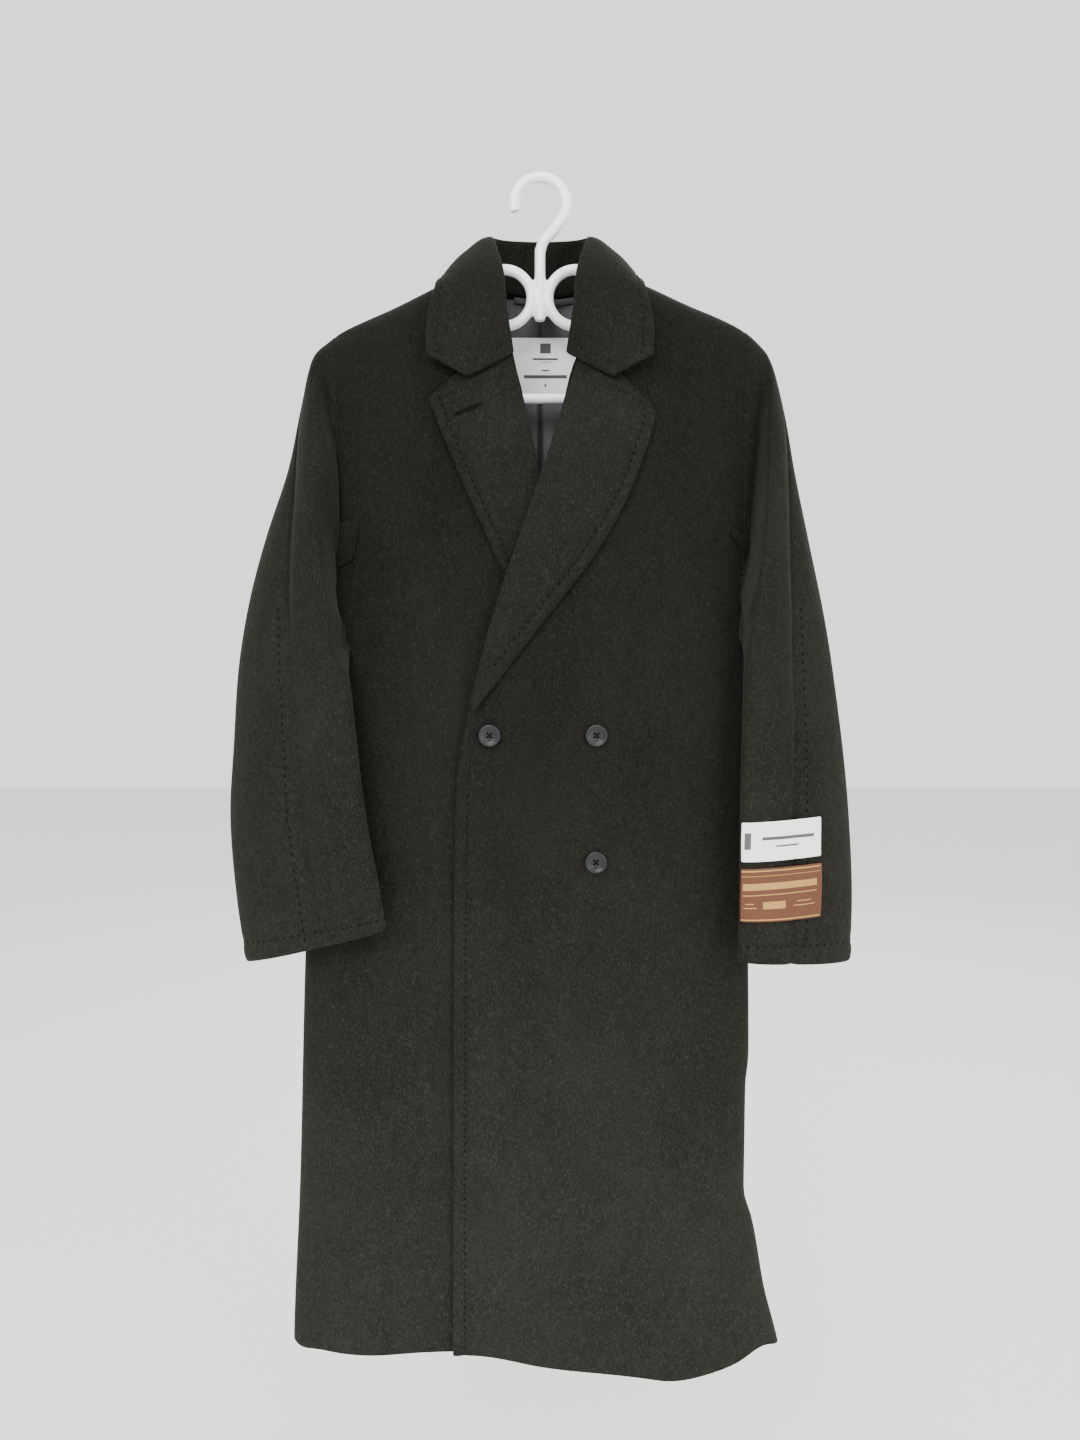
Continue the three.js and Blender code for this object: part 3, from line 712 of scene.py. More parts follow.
# ---- Collar ----
FOLD = [
    (-29, -54, -187), (-35, -53, -140), (-38, -44, -102), (-47, -20, -66),
    (-48, 10, -53), (-34, 34, -47), (0, 43, -45),
]
MIDDLE = [
    (-74, -60, -210), (-73, -62, -147), (-75, -54, -106), (-80, -18, -77),
    (-76, 24, -76), (-48, 54, -88), (0, 59, -92),
]
LEAF_EDGE = [
    (-115, -60, -188), (-115, -60, -158), (-108, -52, -124), (-107, -20, -109),
    (-101, 24, -112), (-62, 58, -142), (0, 62, -148),
]
STAND_FOOT = [
    (-33, -47, -180), (-43, -43, -150), (-58, -35, -112), (-67, -16, -95),
    (-69, 12, -97), (-44, 33, -102), (0, 38.5, -104),
]


def around(curve):
    return curve + [(-x, y, z) for x, y, z in reversed(curve[:-1])]


def collar_surface(u, profile_t):
    """A point of the collar: from the foot of its stand, over the fold, to its outer edge."""
    curves = (STAND_FOOT, FOLD, MIDDLE, LEAF_EDGE)
    foot, fold, middle, edge = (along(around(curve), np.array([u]))[0] for curve in curves)
    tuck = fold + (foot - fold) * 0.35 + np.array([0, 0, 1.0])
    t = np.asarray(profile_t, float)
    point = along([foot, tuck, fold, middle, edge], t)
    # The roll is plump, and the front ends are cut straight to a notch.
    chord = middle - fold
    puff = np.cross(chord, leaf_run(u))
    puff = puff / np.linalg.norm(puff)
    swell = np.exp(-(((t - 0.60) / 0.085) ** 2)) * 4.5 + np.exp(-(((t - 0.50) / 0.06) ** 2)) * 1.5
    point = point + puff * swell[:, None]
    straight = np.interp(t, [0.5, 0.75, 1], [0, 1, 2])[:, None]
    cut = np.where(straight < 1, mix(fold, middle, straight), mix(middle, edge, straight - 1))
    weight = (1 - smooth(0.0, 0.045, min(u, 1 - u))) * smooth(0.48, 0.54, t)
    return mix(point, cut, weight[:, None])


def leaf_run(u):
    """The direction in which the collar's middle line runs at u, chosen so that the roll swells outwards."""
    ahead, behind = min(u + 0.01, 1), max(u - 0.01, 0)
    a, b = (along(around(MIDDLE), np.array([v]))[0] for v in (behind, ahead))
    return a - b


def make_collar():
    end = np.array([0, 0.003, 0.008, 0.016, 0.024])
    us = np.concatenate([end, np.linspace(0.035, 0.965, 120), 1 - end[::-1]])
    profile = np.concatenate([np.linspace(0, 0.75, 22), np.linspace(0.77, 1, 14)])
    grid = np.array([collar_surface(u, profile) for u in us]).transpose(1, 0, 2)
    leaf = profile > 0.55
    edge_away = (1 - profile) * 4 * COLLAR_STEP
    away = np.broadcast_to(edge_away[:, None], grid.shape[:2])
    end_away = np.minimum(us, 1 - us)[None, :] * COLLAR_LONG
    relief = bead(away) * leaf[:, None] + bead(np.broadcast_to(end_away, away.shape)) * leaf[:, None]
    out = grid - np.array([0, 0, -110.0])
    out[..., 2] = 20
    out = out / np.linalg.norm(out, axis=-1, keepdims=True)
    grid = grid + out * relief[..., None]
    obj = sheet_mesh("collar_cloth", grid, LAPEL_WOOL, 3.0)
    finish_piece(obj, "wool", "coat", ["collar_leaf", "collar_stand"])
    declare_cloth(grid)


def bead(away):
    """Relief near a finished edge: it rolls over, then a rounded bead, then the valley of the stitches."""
    rolled = -1.6 * np.exp(-((away / 1.4) ** 2))
    raised = 1.1 * np.exp(-(((away - 6) / 3.6) ** 2))
    valley = 1.3 * np.exp(-(((away - STITCH_IN) / 2.2) ** 2))
    return rolled + raised - valley


# ---- Sleeves ----
RIGHT_OUTER = [
    (-214, 0, -158.5), (-237, 0, -178), (-250.5, -2, -232), (-264, -4, -294),
    (-288, -7, -365), (-306, -10, -430), (-318.5, -12, -500), (-325.5, -13, -580),
    (-331, -14, -660), (-326.5, -14, -745), (-317.5, -14, -819),
]
RIGHT_INNER = [
    (-214, -4, -396), (-214, -21, -408), (-212, -40, -430), (-205, -55, -460),
    (-198, -63, -490), (-192, -68, -525), (-187, -71, -570), (-181, -72, -625),
    (-173, -72, -680), (-164, -72, -728), (-158, -72, -769),
]
LEFT_OUTER = [
    (214, 0, -152), (239, 0, -177), (255, -2, -232), (267, -4, -298),
    (282, -7, -370), (297, -10, -440), (309, -12, -505), (322, -13, -590),
    (330, -14, -665), (335, -14, -740), (335, -14, -817),
]
LEFT_INNER = [
    (214, -4, -396), (213, -18, -406), (211, -40, -425), (210, -54, -450),
    (209.5, -60, -475), (208.5, -62, -510), (207.5, -64, -550), (206.5, -64, -606),
    (206, -64, -670), (206, -64, -745), (206, -64, -805),
]
SLEEVE_DEPTH = [(v,) for v in (40, 39, 36, 31, 27, 24, 22, 21, 20, 19, 19)]
# the over-arm seam: t down the sleeve, and the angle from the sleeve's outer point
SEAM_LINE = [(0, 0.10), (0.12, 0.15), (0.22, 0.55), (0.30, 0.95), (0.40, 1.34), (0.60, 1.66), (1.0, 1.76)]
RIGHT_FOLD = [(-187, 229), (-242, 220), (-274, 213), (-306, 209.5), (-440, 206)]
LEFT_FOLD = [(-200, 235), (-248, 228.5), (-290, 226.5), (-330, 224), (-369, 221), (-400, 217), (-440, 208)]
BACK_SEAM = -0.42
SEAM_VALLEY = 5.0
CUFF_STITCH_IN = 19.0


def angle_between(a, b):
    return np.arctan2(np.sin(a - b), np.cos(a - b))


def pressed_seam(t):
    """The over-arm seam leaves the sleeve's outline a little below the shoulder."""
    return float(look_up([(-u, v) for u, v in SEAM_LINE], np.array(-t, float)))


def sleeve_point(outer, inner, angle, t, raised=0.0, seed=0, folds=True, pressed=1.0):
    """A point of a sleeve at an angle from its outer point and t from armhole to cuff."""
    angle = np.asarray(angle, float)
    a = along(outer, np.full(angle.shape, t))
    b = along(inner, np.full(angle.shape, t))
    reach = (a - b) / 2
    length = np.linalg.norm(reach, axis=-1, keepdims=True)
    reach = reach / length
    front = np.array([0, -1.0, 0]) - reach * (reach @ np.array([0, -1.0, 0]))[..., None]
    front = front / np.linalg.norm(front, axis=-1, keepdims=True)
    away = angle_between(angle, pressed_seam(t))
    started = float(smooth(0.08, 0.24, t))
    width = np.where(away > 0, 0.15, 0.38)
    valley = SEAM_VALLEY * mix(1.0, 0.35, float(smooth(0.35, 0.6, t)))
    dip = valley * np.exp(-((away / width) ** 2)) + 2.7 * np.exp(-((away / 0.065) ** 2))
    lower_side = 1.8 * smooth(-0.03, 0.03, away) * np.exp(-((away / 0.6) ** 2))
    dip = (dip + lower_side) * started * pressed
    seam = 0.9 * np.exp(-((angle_between(angle, BACK_SEAM) / 0.06) ** 2)) * started
    depth = along(SLEEVE_DEPTH, np.full(angle.shape, t))[..., 0] - dip - seam
    if folds:
        depth = depth + sleeve_folds(angle, t, seed) * started
    around_it = (length[..., 0] + raised - seam * 0.6) * np.cos(angle)
    through = (depth + raised) * np.sin(angle)
    return (a + b) / 2 + reach * around_it[..., None] + front * through[..., None]


def sleeve_folds(angle, t, seed):
    """Soft drag lines: slanted at the elbow, longer and shallower below it."""
    elbow = math.exp(-(((t - 0.62) / 0.2) ** 2))
    lines = np.sin(angle * 2.2 + t * 21 + seed) * 1.3 * elbow
    long_folds = np.sin(angle * 3.1 + t * 4.5 + seed * 2) * 1.1
    cuff = np.sin(angle * 4 - t * 30 + seed) * 0.8 * smooth(0.82, 0.9, t) * (1 - smooth(0.94, 0.99, t))
    return lines + long_folds * (1 - smooth(0.9, 1.0, t)) + cuff


def sleeve_angles(count=160):
    """Angles round a sleeve, closer together on its front."""
    even = np.linspace(0, 2 * math.pi, count, endpoint=False)
    return even + 0.30 * np.cos(even) * np.exp(-((angle_between(even, 1.45) / 1.3) ** 2))


def body_depth(x, z, front):
    """How far the body's surface stands from the hanger's plane at each x and z."""
    ahead = -front_point(x, z, 0.0, False)[:, 1]
    behind = body_point(angle_at(x, z, True), z, 0.0, False, True)[:, 1]
    return np.where(front, ahead, behind)


def fit_to_body(ring, t, fold_line, inside=0.0):
    """A ring near the armhole: on the body's surface as far as the fold line, and clear of it beyond."""
    ring = ring.copy()
    front = ring[:, 1] < 0
    size = np.abs(ring[:, 1])
    target = np.maximum(body_depth(ring[:, 0], ring[:, 2], front) + 0.7 - inside, 0.2)
    past = np.abs(ring[:, 0]) - look_up(fold_line, ring[:, 2])
    above = 1 - smooth(-190, -225, ring[:, 2])
    flush = np.maximum(1 - smooth(-1.5, 6.0, past), above * (1 - smooth(0.04, 0.16, t)))
    behind = (1 - smooth(-205, -310, ring[:, 2])) * (1 - smooth(0.02, 0.18, t))
    weight = np.where(front, flush * (1 - smooth(0.36, 0.46, t)), behind)
    size = mix(size, np.minimum(target, np.maximum(size, target)), weight)
    size = size - 1.3 * np.exp(-(((past + 2.0) / 1.8) ** 2)) * front * (1 - above) * (1 - smooth(0.3, 0.4, t))
    ring[:, 1] = np.where(front, -size, size)
    return ring


def armhole_lip(side, ring):
    """Rings that roll the sleeve's head over and back on to the body at the armhole."""
    front = ring[:, 1] < 0
    sign = np.where(front, -1.0, 1.0)
    top = np.abs(ring[:, 1])
    bottom = body_depth(ring[:, 0] - side * 4, ring[:, 2], front)
    proud = np.maximum(top - bottom, 0)
    bulge = 5.0 * smooth(2, 18, proud) * np.where(front, 1.0, 0.5)
    lip = []
    for turn in (25, 50, 75, 100, 125, 150, 172):
        a = math.radians(turn)
        rolled = ring.copy()
        rolled[:, 0] -= side * (bulge * math.sin(a) + 2.0 * turn / 172)
        rolled[:, 1] = sign * (top - proud * (1 - math.cos(a)) / 2)
        lip.append(rolled)
    for inside, sink in ((3.0, 0.5), (4.5, 2.2)):
        rolled = ring.copy()
        rolled[:, 0] -= side * inside
        rolled[:, 1] = sign * np.maximum(bottom - sink, 0)
        rolled[:, 2] -= sink * 0.6
        lip.append(rolled)
    return lip[::-1]


def make_sleeve(name, side, outer, inner, seed, fold_line):
    angles = sleeve_angles()
    rows = np.concatenate([np.linspace(0, 0.97, 110), [0.975, 0.982, 0.99, 0.996, 1.0]])
    grid = []
    for t in rows:
        ring = sleeve_point(outer, inner, angles, t, cuff_relief(t), seed)
        grid.append(fit_to_body(ring, t, fold_line))
    grid = np.array(armhole_lip(side, grid[0]) + grid)
    middle = (side * 245, -25, 0)
    obj = sheet_mesh(f"sleeve_{name}_cloth", grid, SLEEVE_WOOL, WOOL - 0.3, closed=True, inward=middle)
    finish_piece(obj, "wool", None, [f"sleeve_{name}_front", f"sleeve_{name}_back"])
    closed = np.concatenate([grid, grid[:, :1]], axis=1)
    declare_cloth(closed)
    blend_at_shoulder(obj, name, side)
    tube_rows = np.linspace(0.03, 0.965, 60)
    inside = WOOL + GAP + 0.6
    lining = []
    for t in tube_rows:
        ring = sleeve_point(outer, inner, angles[::2], t, -inside, seed)
        lining.append(fit_to_body(ring, t, fold_line, inside + 1.5))
    lining = np.array(lining)
    piece = f"sleeve_{name}_lining"
    obj = sheet_mesh(f"{piece}_cloth", lining, SATIN, LINING, closed=True, levels=0, inward=middle)
    finish_piece(obj, "lining", None, [piece])
    declare_cloth(np.concatenate([lining, lining[:, :1]], axis=1))
    blend_at_shoulder(obj, name, side)


def cuff_relief(t):
    """The cuff's turned hem: its bead and the valley of its stitches."""
    from_edge = (1 - t) * SLEEVE_LONG * STITCH_IN / CUFF_STITCH_IN
    return float(bead(np.array(from_edge)) * 0.9)


def blend_at_shoulder(obj, name, side):
    """Bakes the piece's transform into its mesh; a line up from the armpit is worked out but not used."""
    start = Vector((side * 0.214, 0, -0.396))
    away = Vector((side * 0.7071, 0, -0.7071))
    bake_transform(obj)


# ---- Stitches ----
def stitch_template():
    """A stitch's unit shape: a short thread that dips in at both ends."""
    rings, around_it = 5, 6
    points = []
    for i in range(rings):
        s = i / (rings - 1)
        radius = 0.25 + 0.75 * math.sin(math.pi * s)
        for k in range(around_it):
            a = 2 * math.pi * k / around_it
            points.append((s - 0.5, radius * math.cos(a), radius * math.sin(a) + math.sin(math.pi * s) - 0.8))
    faces = [f for f in grid_faces(rings, around_it, True)]
    faces += [tuple(range(around_it))[::-1], tuple(range((rings - 1) * around_it, rings * around_it))]
    return np.array(points), faces


STITCH, STITCH_FACES = stitch_template()


def stitch_mesh(name, path, out, material, pitch=STITCH_PITCH, long=3.8, radius=0.62):
    """Stitches along a path of points, each lying across its outward direction."""
    path, out = np.array(path), np.array(out)
    steps = np.linalg.norm(np.diff(path, axis=0), axis=1)
    run = np.concatenate([[0], np.cumsum(steps)])
    places = np.arange(pitch * 0.5, run[-1], pitch)
    points, faces = [], []
    rng = np.random.default_rng(len(name))
    for place in places:
        k = min(int(np.searchsorted(run, place)) - 1, len(path) - 2)
        f = (place - run[k]) / max(run[k + 1] - run[k], 1e-6)
        here = mix(path[k], path[k + 1], f)
        tangent = (path[k + 1] - path[k]) / max(steps[k], 1e-6)
        up = mix(out[k], out[k + 1], f)
        up = up - tangent * (up @ tangent)
        up = up / np.linalg.norm(up)
        side = np.cross(up, tangent)
        size = long * rng.uniform(0.85, 1.15)
        shift = rng.normal(0, 0.18)
        first = len(points)
        for p in STITCH:
            points.append(here + tangent * p[0] * size + side * (p[1] * radius + shift) + up * p[2] * radius)
        faces += [tuple(first + i for i in face) for face in STITCH_FACES]
    return make_object(name, points, faces, material)


def front_stitches():
    """Pick stitches down the outer front's edge."""
    zs = np.linspace(-1238, -590, 160)
    path, out = [], []
    for z in zs:
        x = float(look_up(OUTER_EDGE, z)) + STITCH_IN
        p = front_point(np.array([x]), np.array([z]), -0.35, True)[0]
        path.append(p)
        out.append((0, -1, 0))
    obj = stitch_mesh("outer_front_stitches", path, out, DARK_THREAD, pitch=7.6)
    finish_piece(obj, "thread", None)
    blend_at_fold(obj)


def lapel_stitches():
    for name, roll, edge, lifted, ends, last in (
        ("outer_lapel_stitches", OUTER_LAPEL_ROLL, OUTER_LAPEL_EDGE, True, full, 0.97),
        ("under_lapel_stitches", UNDER_LAPEL_ROLL, UNDER_LAPEL_EDGE, False, flatten, 0.86),
    ):
        path = []
        for s in np.linspace(0.25, 0.86, 20):
            path.append(lapel_point_in(roll, edge, lifted, ends, s, STITCH_IN / LAPEL_LONG))
        for v in np.linspace(STITCH_IN / LAPEL_LONG, last, 90):
            path.append(lapel_point_in(roll, edge, lifted, ends, None, v))
        obj = stitch_mesh(name, path, [(0, -1, 0)] * len(path), DARK_THREAD)
        finish_piece(obj, "thread", "coat")


def lapel_point_in(roll, edge, lifted, ends, u, v):
    here = np.linalg.norm(along(edge, np.array([v])) - along(roll, np.array([v])))
    u = 1 - STITCH_IN / here if u is None else min(u, 1 - STITCH_IN / here)
    return lapel_surface(roll, edge, lifted, ends, np.array([u]), np.array([v]), -0.45)[0]


def collar_stitches():
    path, out = [], []
    t = 1 - STITCH_IN / (4 * COLLAR_STEP)
    centre = np.array([0, 0, -140.0])
    for s in np.linspace(0.56, t, 14):
        path.append(collar_surface(STITCH_IN / COLLAR_LONG, [s])[0])
    for u in np.linspace(STITCH_IN / COLLAR_LONG, 1 - STITCH_IN / COLLAR_LONG, 160):
        path.append(collar_surface(u, [t])[0])
    for s in np.linspace(t, 0.56, 14):
        path.append(collar_surface(1 - STITCH_IN / COLLAR_LONG, [s])[0])
    for p in path:
        away = p - centre
        away[2] = 25
        away = away / np.linalg.norm(away)
        out.append(away)
    path = [p - o * 0.5 for p, o in zip(path, out)]
    obj = stitch_mesh("collar_stitches", path, out, DARK_THREAD)
    finish_piece(obj, "thread", "coat")


def sleeve_stitches():
    for name, side, outer, inner, seed, _ in SLEEVES:

        def place(a, t, raised):
            return sleeve_point(outer, inner, np.array([a]), t, raised, seed)[0]

        rows = []
        seam = [(pressed_seam(t) - 0.18, t) for t in np.linspace(0.46, 0.985, 90)]
        rows.append(("seam", seam))
        t_cuff = 1 - CUFF_STITCH_IN / SLEEVE_LONG
        rows.append(("cuff", [(a, t_cuff) for a in np.linspace(0, 2 * math.pi, 90)]))
        for kind, places in rows:
            path = [place(a, t, cuff_relief(t) + 0.25) for a, t in places]
            lifted = [place(a, t, 6.0) for a, t in places]
            out = [b - a for a, b in zip(path, lifted)]
            piece = f"sleeve_{name}_{kind}_stitches"
            obj = stitch_mesh(piece, path, out, DARK_THREAD, pitch=9.0, long=4.4, radius=0.9)
            finish_piece(obj, "thread", None)
            blend_at_shoulder(obj, name, side)


SLEEVES = (
    ("right", -1, RIGHT_OUTER, RIGHT_INNER, 1.0, RIGHT_FOLD),
    ("left", 1, LEFT_OUTER, LEFT_INNER, 2.6, LEFT_FOLD),
)


# ---- Buttons ----
def button_profile():
    r, t = BUTTON_RADIUS, BUTTON_THICK
    return [
        (0, 0), (r - 2.2, 0), (r - 0.7, 0.5), (r, 1.6), (r, t - 1.3), (r - 0.4, t - 0.4), (r - 1.2, t),
        (r - 2.2, t - 0.15), (r - 3.0, t - 0.8), (r - 3.8, t - 1.35), (r - 5.5, t - 1.6), (0, t - 1.6),
    ]


def make_button(node, x, z, lifted_cloth):
    """A rimmed, dished disc with four holes, its thread crossing them, on a wound shank."""
    face_y = float(front_point(np.array([x]), np.array([z]), 2.2, True)[0, 1])
    cloth_y = float(front_point(np.array([x]), np.array([z]), 0.0, lifted_cloth)[0, 1])
    rings = 64
    points = []
    for r, h in button_profile():
        for k in range(rings):
            a = 2 * math.pi * k / rings
            points.append((x + r * math.cos(a), face_y - h, z + r * math.sin(a)))
    faces = grid_faces(len(button_profile()), rings, True)
    disc = make_object(f"{node}_disc", points, faces, BUTTON_PLASTIC)
    remove_doubled(disc)
    for i in (-1, 1):
        for j in (-1, 1):
            drill(disc, x + BUTTON_HOLE_OUT * i, face_y, z + BUTTON_HOLE_OUT * j)
    finish_piece(disc, "button", "coat", [node])
    thread_cross(node, x, face_y - BUTTON_THICK + 1.5, z)
    wound_shank(node, x, z, cloth_y, face_y)


def remove_doubled(obj):
    mesh = bmesh.new()
    mesh.from_mesh(obj.data)
    bmesh.ops.remove_doubles(mesh, verts=mesh.verts, dist=1e-6)
    bmesh.ops.recalc_face_normals(mesh, faces=mesh.faces)
    mesh.to_mesh(obj.data)
    mesh.free()


def drill(obj, x, y, z):
    """A round hole through a button, front to back."""
    bpy.ops.mesh.primitive_cylinder_add(vertices=20, radius=0.95 * MM, depth=20 * MM)
    tool = bpy.context.object
    tool.location = (x * MM, y * MM, z * MM)
    tool.rotation_euler = (math.pi / 2, 0, 0)
    cut = obj.modifiers.new("hole", "BOOLEAN")
    cut.operation = "DIFFERENCE"
    cut.object = tool
    cut.solver = "EXACT"
    apply_modifiers(obj)
    bpy.data.objects.remove(tool)


def thread_cross(node, x, y, z):
    """Two strands through each pair of holes."""
    points, faces = [], []
    ring, steps, radius = 8, 9, 0.36
    for dx, dz in ((1, 1), (1, -1)):
        side = np.array([dz * 0.7, 0, -dx * 0.7])
        for shift in (-0.35, 0.35):
            first = len(points)
            for s in np.linspace(-1, 1, steps):
                run = np.array([BUTTON_HOLE_OUT * dx * s, 0.5 - 0.7 * (1 - s**4), BUTTON_HOLE_OUT * dz * s])
                p = np.array([x, y, z]) + run + side * shift
                for k in range(ring):
                    a = 2 * math.pi * k / ring
                    points.append(p + side * radius * math.cos(a) + np.array([0, -radius * math.sin(a), 0]))
            faces += [tuple(first + i for i in f) for f in grid_faces(steps, ring, True)]
    obj = make_object(f"{node}_cross", points, faces, DARK_THREAD)
    finish_piece(obj, "thread", "coat")


def wound_shank(node, x, z, cloth_y, face_y):
    """A thread shank, ribbed where the thread winds round it."""
    rows, ring = 40, 20
    points = []
    for i in range(rows):
        f = i / (rows - 1)
        y = mix(cloth_y - 0.4, face_y + 0.1, f)
        r = 1.5 * (0.9 + 0.1 * math.cos(f * 40)) * (1 + 0.25 * (2 * f - 1) ** 4)
        for k in range(ring):
            a = 2 * math.pi * k / ring
            points.append((x + r * math.cos(a), y, z + r * math.sin(a)))
    obj = make_object(f"{node}_shank", points, grid_faces(rows, ring, True), DARK_THREAD)
    finish_piece(obj, "thread", "coat", [f"{node}_thread"])


def make_buttonhole(name, x, z, run, tilt, lifted, length=24.0):
    """A worked buttonhole: two close rows of stitches round its cut, and a dark sheet in the cut that is
    painted shade of the opening.
    """
    direction = np.array([math.cos(tilt), 0, math.sin(tilt)])
    normal = np.array([-math.sin(tilt), 0, math.cos(tilt)])
    path, out = [], []
    for s in np.linspace(0, 2 * math.pi, 60):
        p = np.array([x, 0, z]) + direction * (length / 2) * math.cos(s) + normal * 1.5 * math.sin(s)
        path.append(front_point(np.array([p[0]]), np.array([p[2]]), run, lifted)[0])
        out.append((0, -1, 0))
    obj = stitch_mesh(name, path, out, DARK_THREAD, pitch=0.9, long=1.5, radius=0.55)
    finish_piece(obj, "thread", "coat")
    # Painted shade: a near-black sheet along the cut stands for the shadow in the buttonhole's opening.
    painted_slit_shade = []
    for s in np.linspace(-1, 1, 24):
        for w in (-0.9, 0.9):
            p = np.array([x, 0, z]) + direction * (length / 2) * s + normal * w * (1 - s**2) ** 0.5
            painted_slit_shade.append(front_point(np.array([p[0]]), np.array([p[2]]), run + 0.12, lifted)[0])
    obj = make_object(f"{name}_slit", np.array(painted_slit_shade), grid_faces(24, 2, False), DARK_THREAD)
    finish_piece(obj, "thread", "coat")


def make_gusset(name, corners, rise):
    """The point of an underarm gusset, a small rounded flap let into the front beside the sleeve."""
    f = np.concatenate([[0, 0.04, 0.1], np.linspace(0.18, 0.82, 9), [0.9, 0.96, 1]])
    a, b, c, d = (np.array(p, float) for p in corners)
    grid = []
    for v in f:
        x, z = np.array([mix(mix(a, b, u), mix(d, c, u), v) for u in f]).T
        corner = (2 * f - 1) ** 8 * (2 * v - 1) ** 8
        middle = (a + b + c + d) / 4
        x = mix(x, middle[0], corner * 0.18)
        z = mix(z, middle[1], corner * 0.18)
        crown = 0.6 + 0.4 * np.sin(math.pi * f) * math.sin(math.pi * v)
        grid.append(front_point(x, z, rise * crown, False))
    grid = np.array(grid)
    obj = sheet_mesh(name, grid, WOOL_CLOTH, 1.8)
    finish_piece(obj, "wool", "coat")
    declare_cloth(grid)


# ---- Labels and loop ----
def raised_bars(name, place, bars, material, side=0):
    """Flat woven bars on a label: each is (low s, high s, low t, high t) in its own 0 to 1 square."""
    points, faces = [], []
    for s0, s1, t0, t1 in bars:
        n = max(2, int((s1 - s0) * 30))
        m = max(2, int((t1 - t0) * 12))
        first = len(points)
        for t in np.linspace(t0, t1, m):
            for s in np.linspace(s0, s1, n):
                points.append(place(s, t))
        faces += [tuple(first + i for i in f) for f in grid_faces(m, n, False)]
    obj = make_object(name, points, faces, material)
    finish_piece(obj, material_slot(material), None if side else "coat")
    if side:
        blend_at_shoulder(obj, "left", side)


def material_slot(material):
    return "brown_label" if material is GOLD_THREAD else "white_label"


def make_sleeve_label(node, name, t0, t1, material, slot, bars, bar_material):
    """A woven label that wraps a little way round the sleeve's inner edge."""
    first, last = 2.98, 1.33

    def place(s, t, raised):
        angle = np.array([mix(first, last, s)])
        height = mix(t1, t0, t)
        return sleeve_point(LEFT_OUTER, LEFT_INNER, angle, height, raised, 2.6, pressed=0.25)[0]

    def curl(s, t):
        return 0.5 * math.sin(s * 5 + t * 3) + 0.9 * (abs(2 * s - 1) ** 8) * 0.6

    s_values, t_values = np.linspace(0, 1, 44), np.linspace(0, 1, 20)
    grid = np.array([[place(s, t, 1.5 + curl(s, t)) for s in s_values] for t in t_values])
    obj = sheet_mesh(f"{name}_cloth", grid, material, 0.5, levels=1)
    finish_piece(obj, slot, None, [node])
    declare_cloth(grid)
    blend_at_shoulder(obj, "left", 1)
    raised_bars(f"{name}_bars", lambda s, t: place(s, t, 1.68 + curl(s, t)), bars, bar_material, 1)


WHITE_LABEL_BARS = [(0.36, 0.92, 0.52, 0.60), (0.52, 0.76, 0.34, 0.38), (0.08, 0.20, 0.30, 0.72)]
BROWN_LABEL_BARS = [
    (0.02, 0.98, 0.94, 0.965), (0.02, 0.98, 0.86, 0.87), (0.02, 0.98, 0.035, 0.06),
    (0.06, 0.94, 0.52, 0.54), (0.06, 0.94, 0.62, 0.74), (0.38, 0.62, 0.26, 0.40),
    (0.08, 0.30, 0.28, 0.30), (0.70, 0.92, 0.28, 0.30), (0.12, 0.26, 0.36, 0.38), (0.74, 0.88, 0.36, 0.38),
]
NECK_LABEL_BARS = [
    (0.44, 0.56, 0.72, 0.90), (0.36, 0.64, 0.60, 0.635), (0.44, 0.56, 0.555, 0.565),
    (0.46, 0.54, 0.40, 0.425), (0.26, 0.74, 0.27, 0.33), (0.49, 0.51, 0.12, 0.17),
]
# node, name, top and foot down the sleeve, ground, slot, bars and their thread
SLEEVE_LABELS = (
    ("sleeve_label_upper", "sleeve_label_white", 0.783, 0.839, WHITE_LABEL, "white_label", WHITE_LABEL_BARS,
     GREY_THREAD),
    ("sleeve_label_lower", "sleeve_label_brown", 0.848, 0.926, BROWN_LABEL, "brown_label", BROWN_LABEL_BARS,
     GOLD_THREAD),
)


def make_neck_label():
    low_x, high_x, low_z, high_z = -44.0, 56.0, -205.0, -146.0
    depth = WOOL + GAP + LINING + 1.6

    def place(s, t, raised=0.0):
        x, z = mix(low_x, high_x, s), mix(low_z, high_z, t)
        angle = angle_at(np.array([x]), np.array([z]), True)
        return body_point(angle, np.array([z]), depth + raised, False, True)[0]

    grid = np.array([[place(s, t) for s in np.linspace(0, 1, 50)] for t in np.linspace(0, 1, 36)])
    obj = sheet_mesh("neck_label_cloth", grid, WHITE_LABEL, 0.6)
    finish_piece(obj, "white_label", "coat", ["neck_label"])
    declare_cloth(grid)
    raised_bars("neck_label_bars", lambda s, t: place(s, t, 0.18), NECK_LABEL_BARS, GREY_THREAD)
    rim = [place(s, 0.97, 0.2) for s in np.linspace(0.02, 0.98, 60)]
    out = [(0, -1, 0)] * len(rim)
    obj = stitch_mesh("neck_label_stitches", rim, out, PALE_THREAD, pitch=3.0, long=2.0, radius=0.2)
    finish_piece(obj, "thread", "coat")


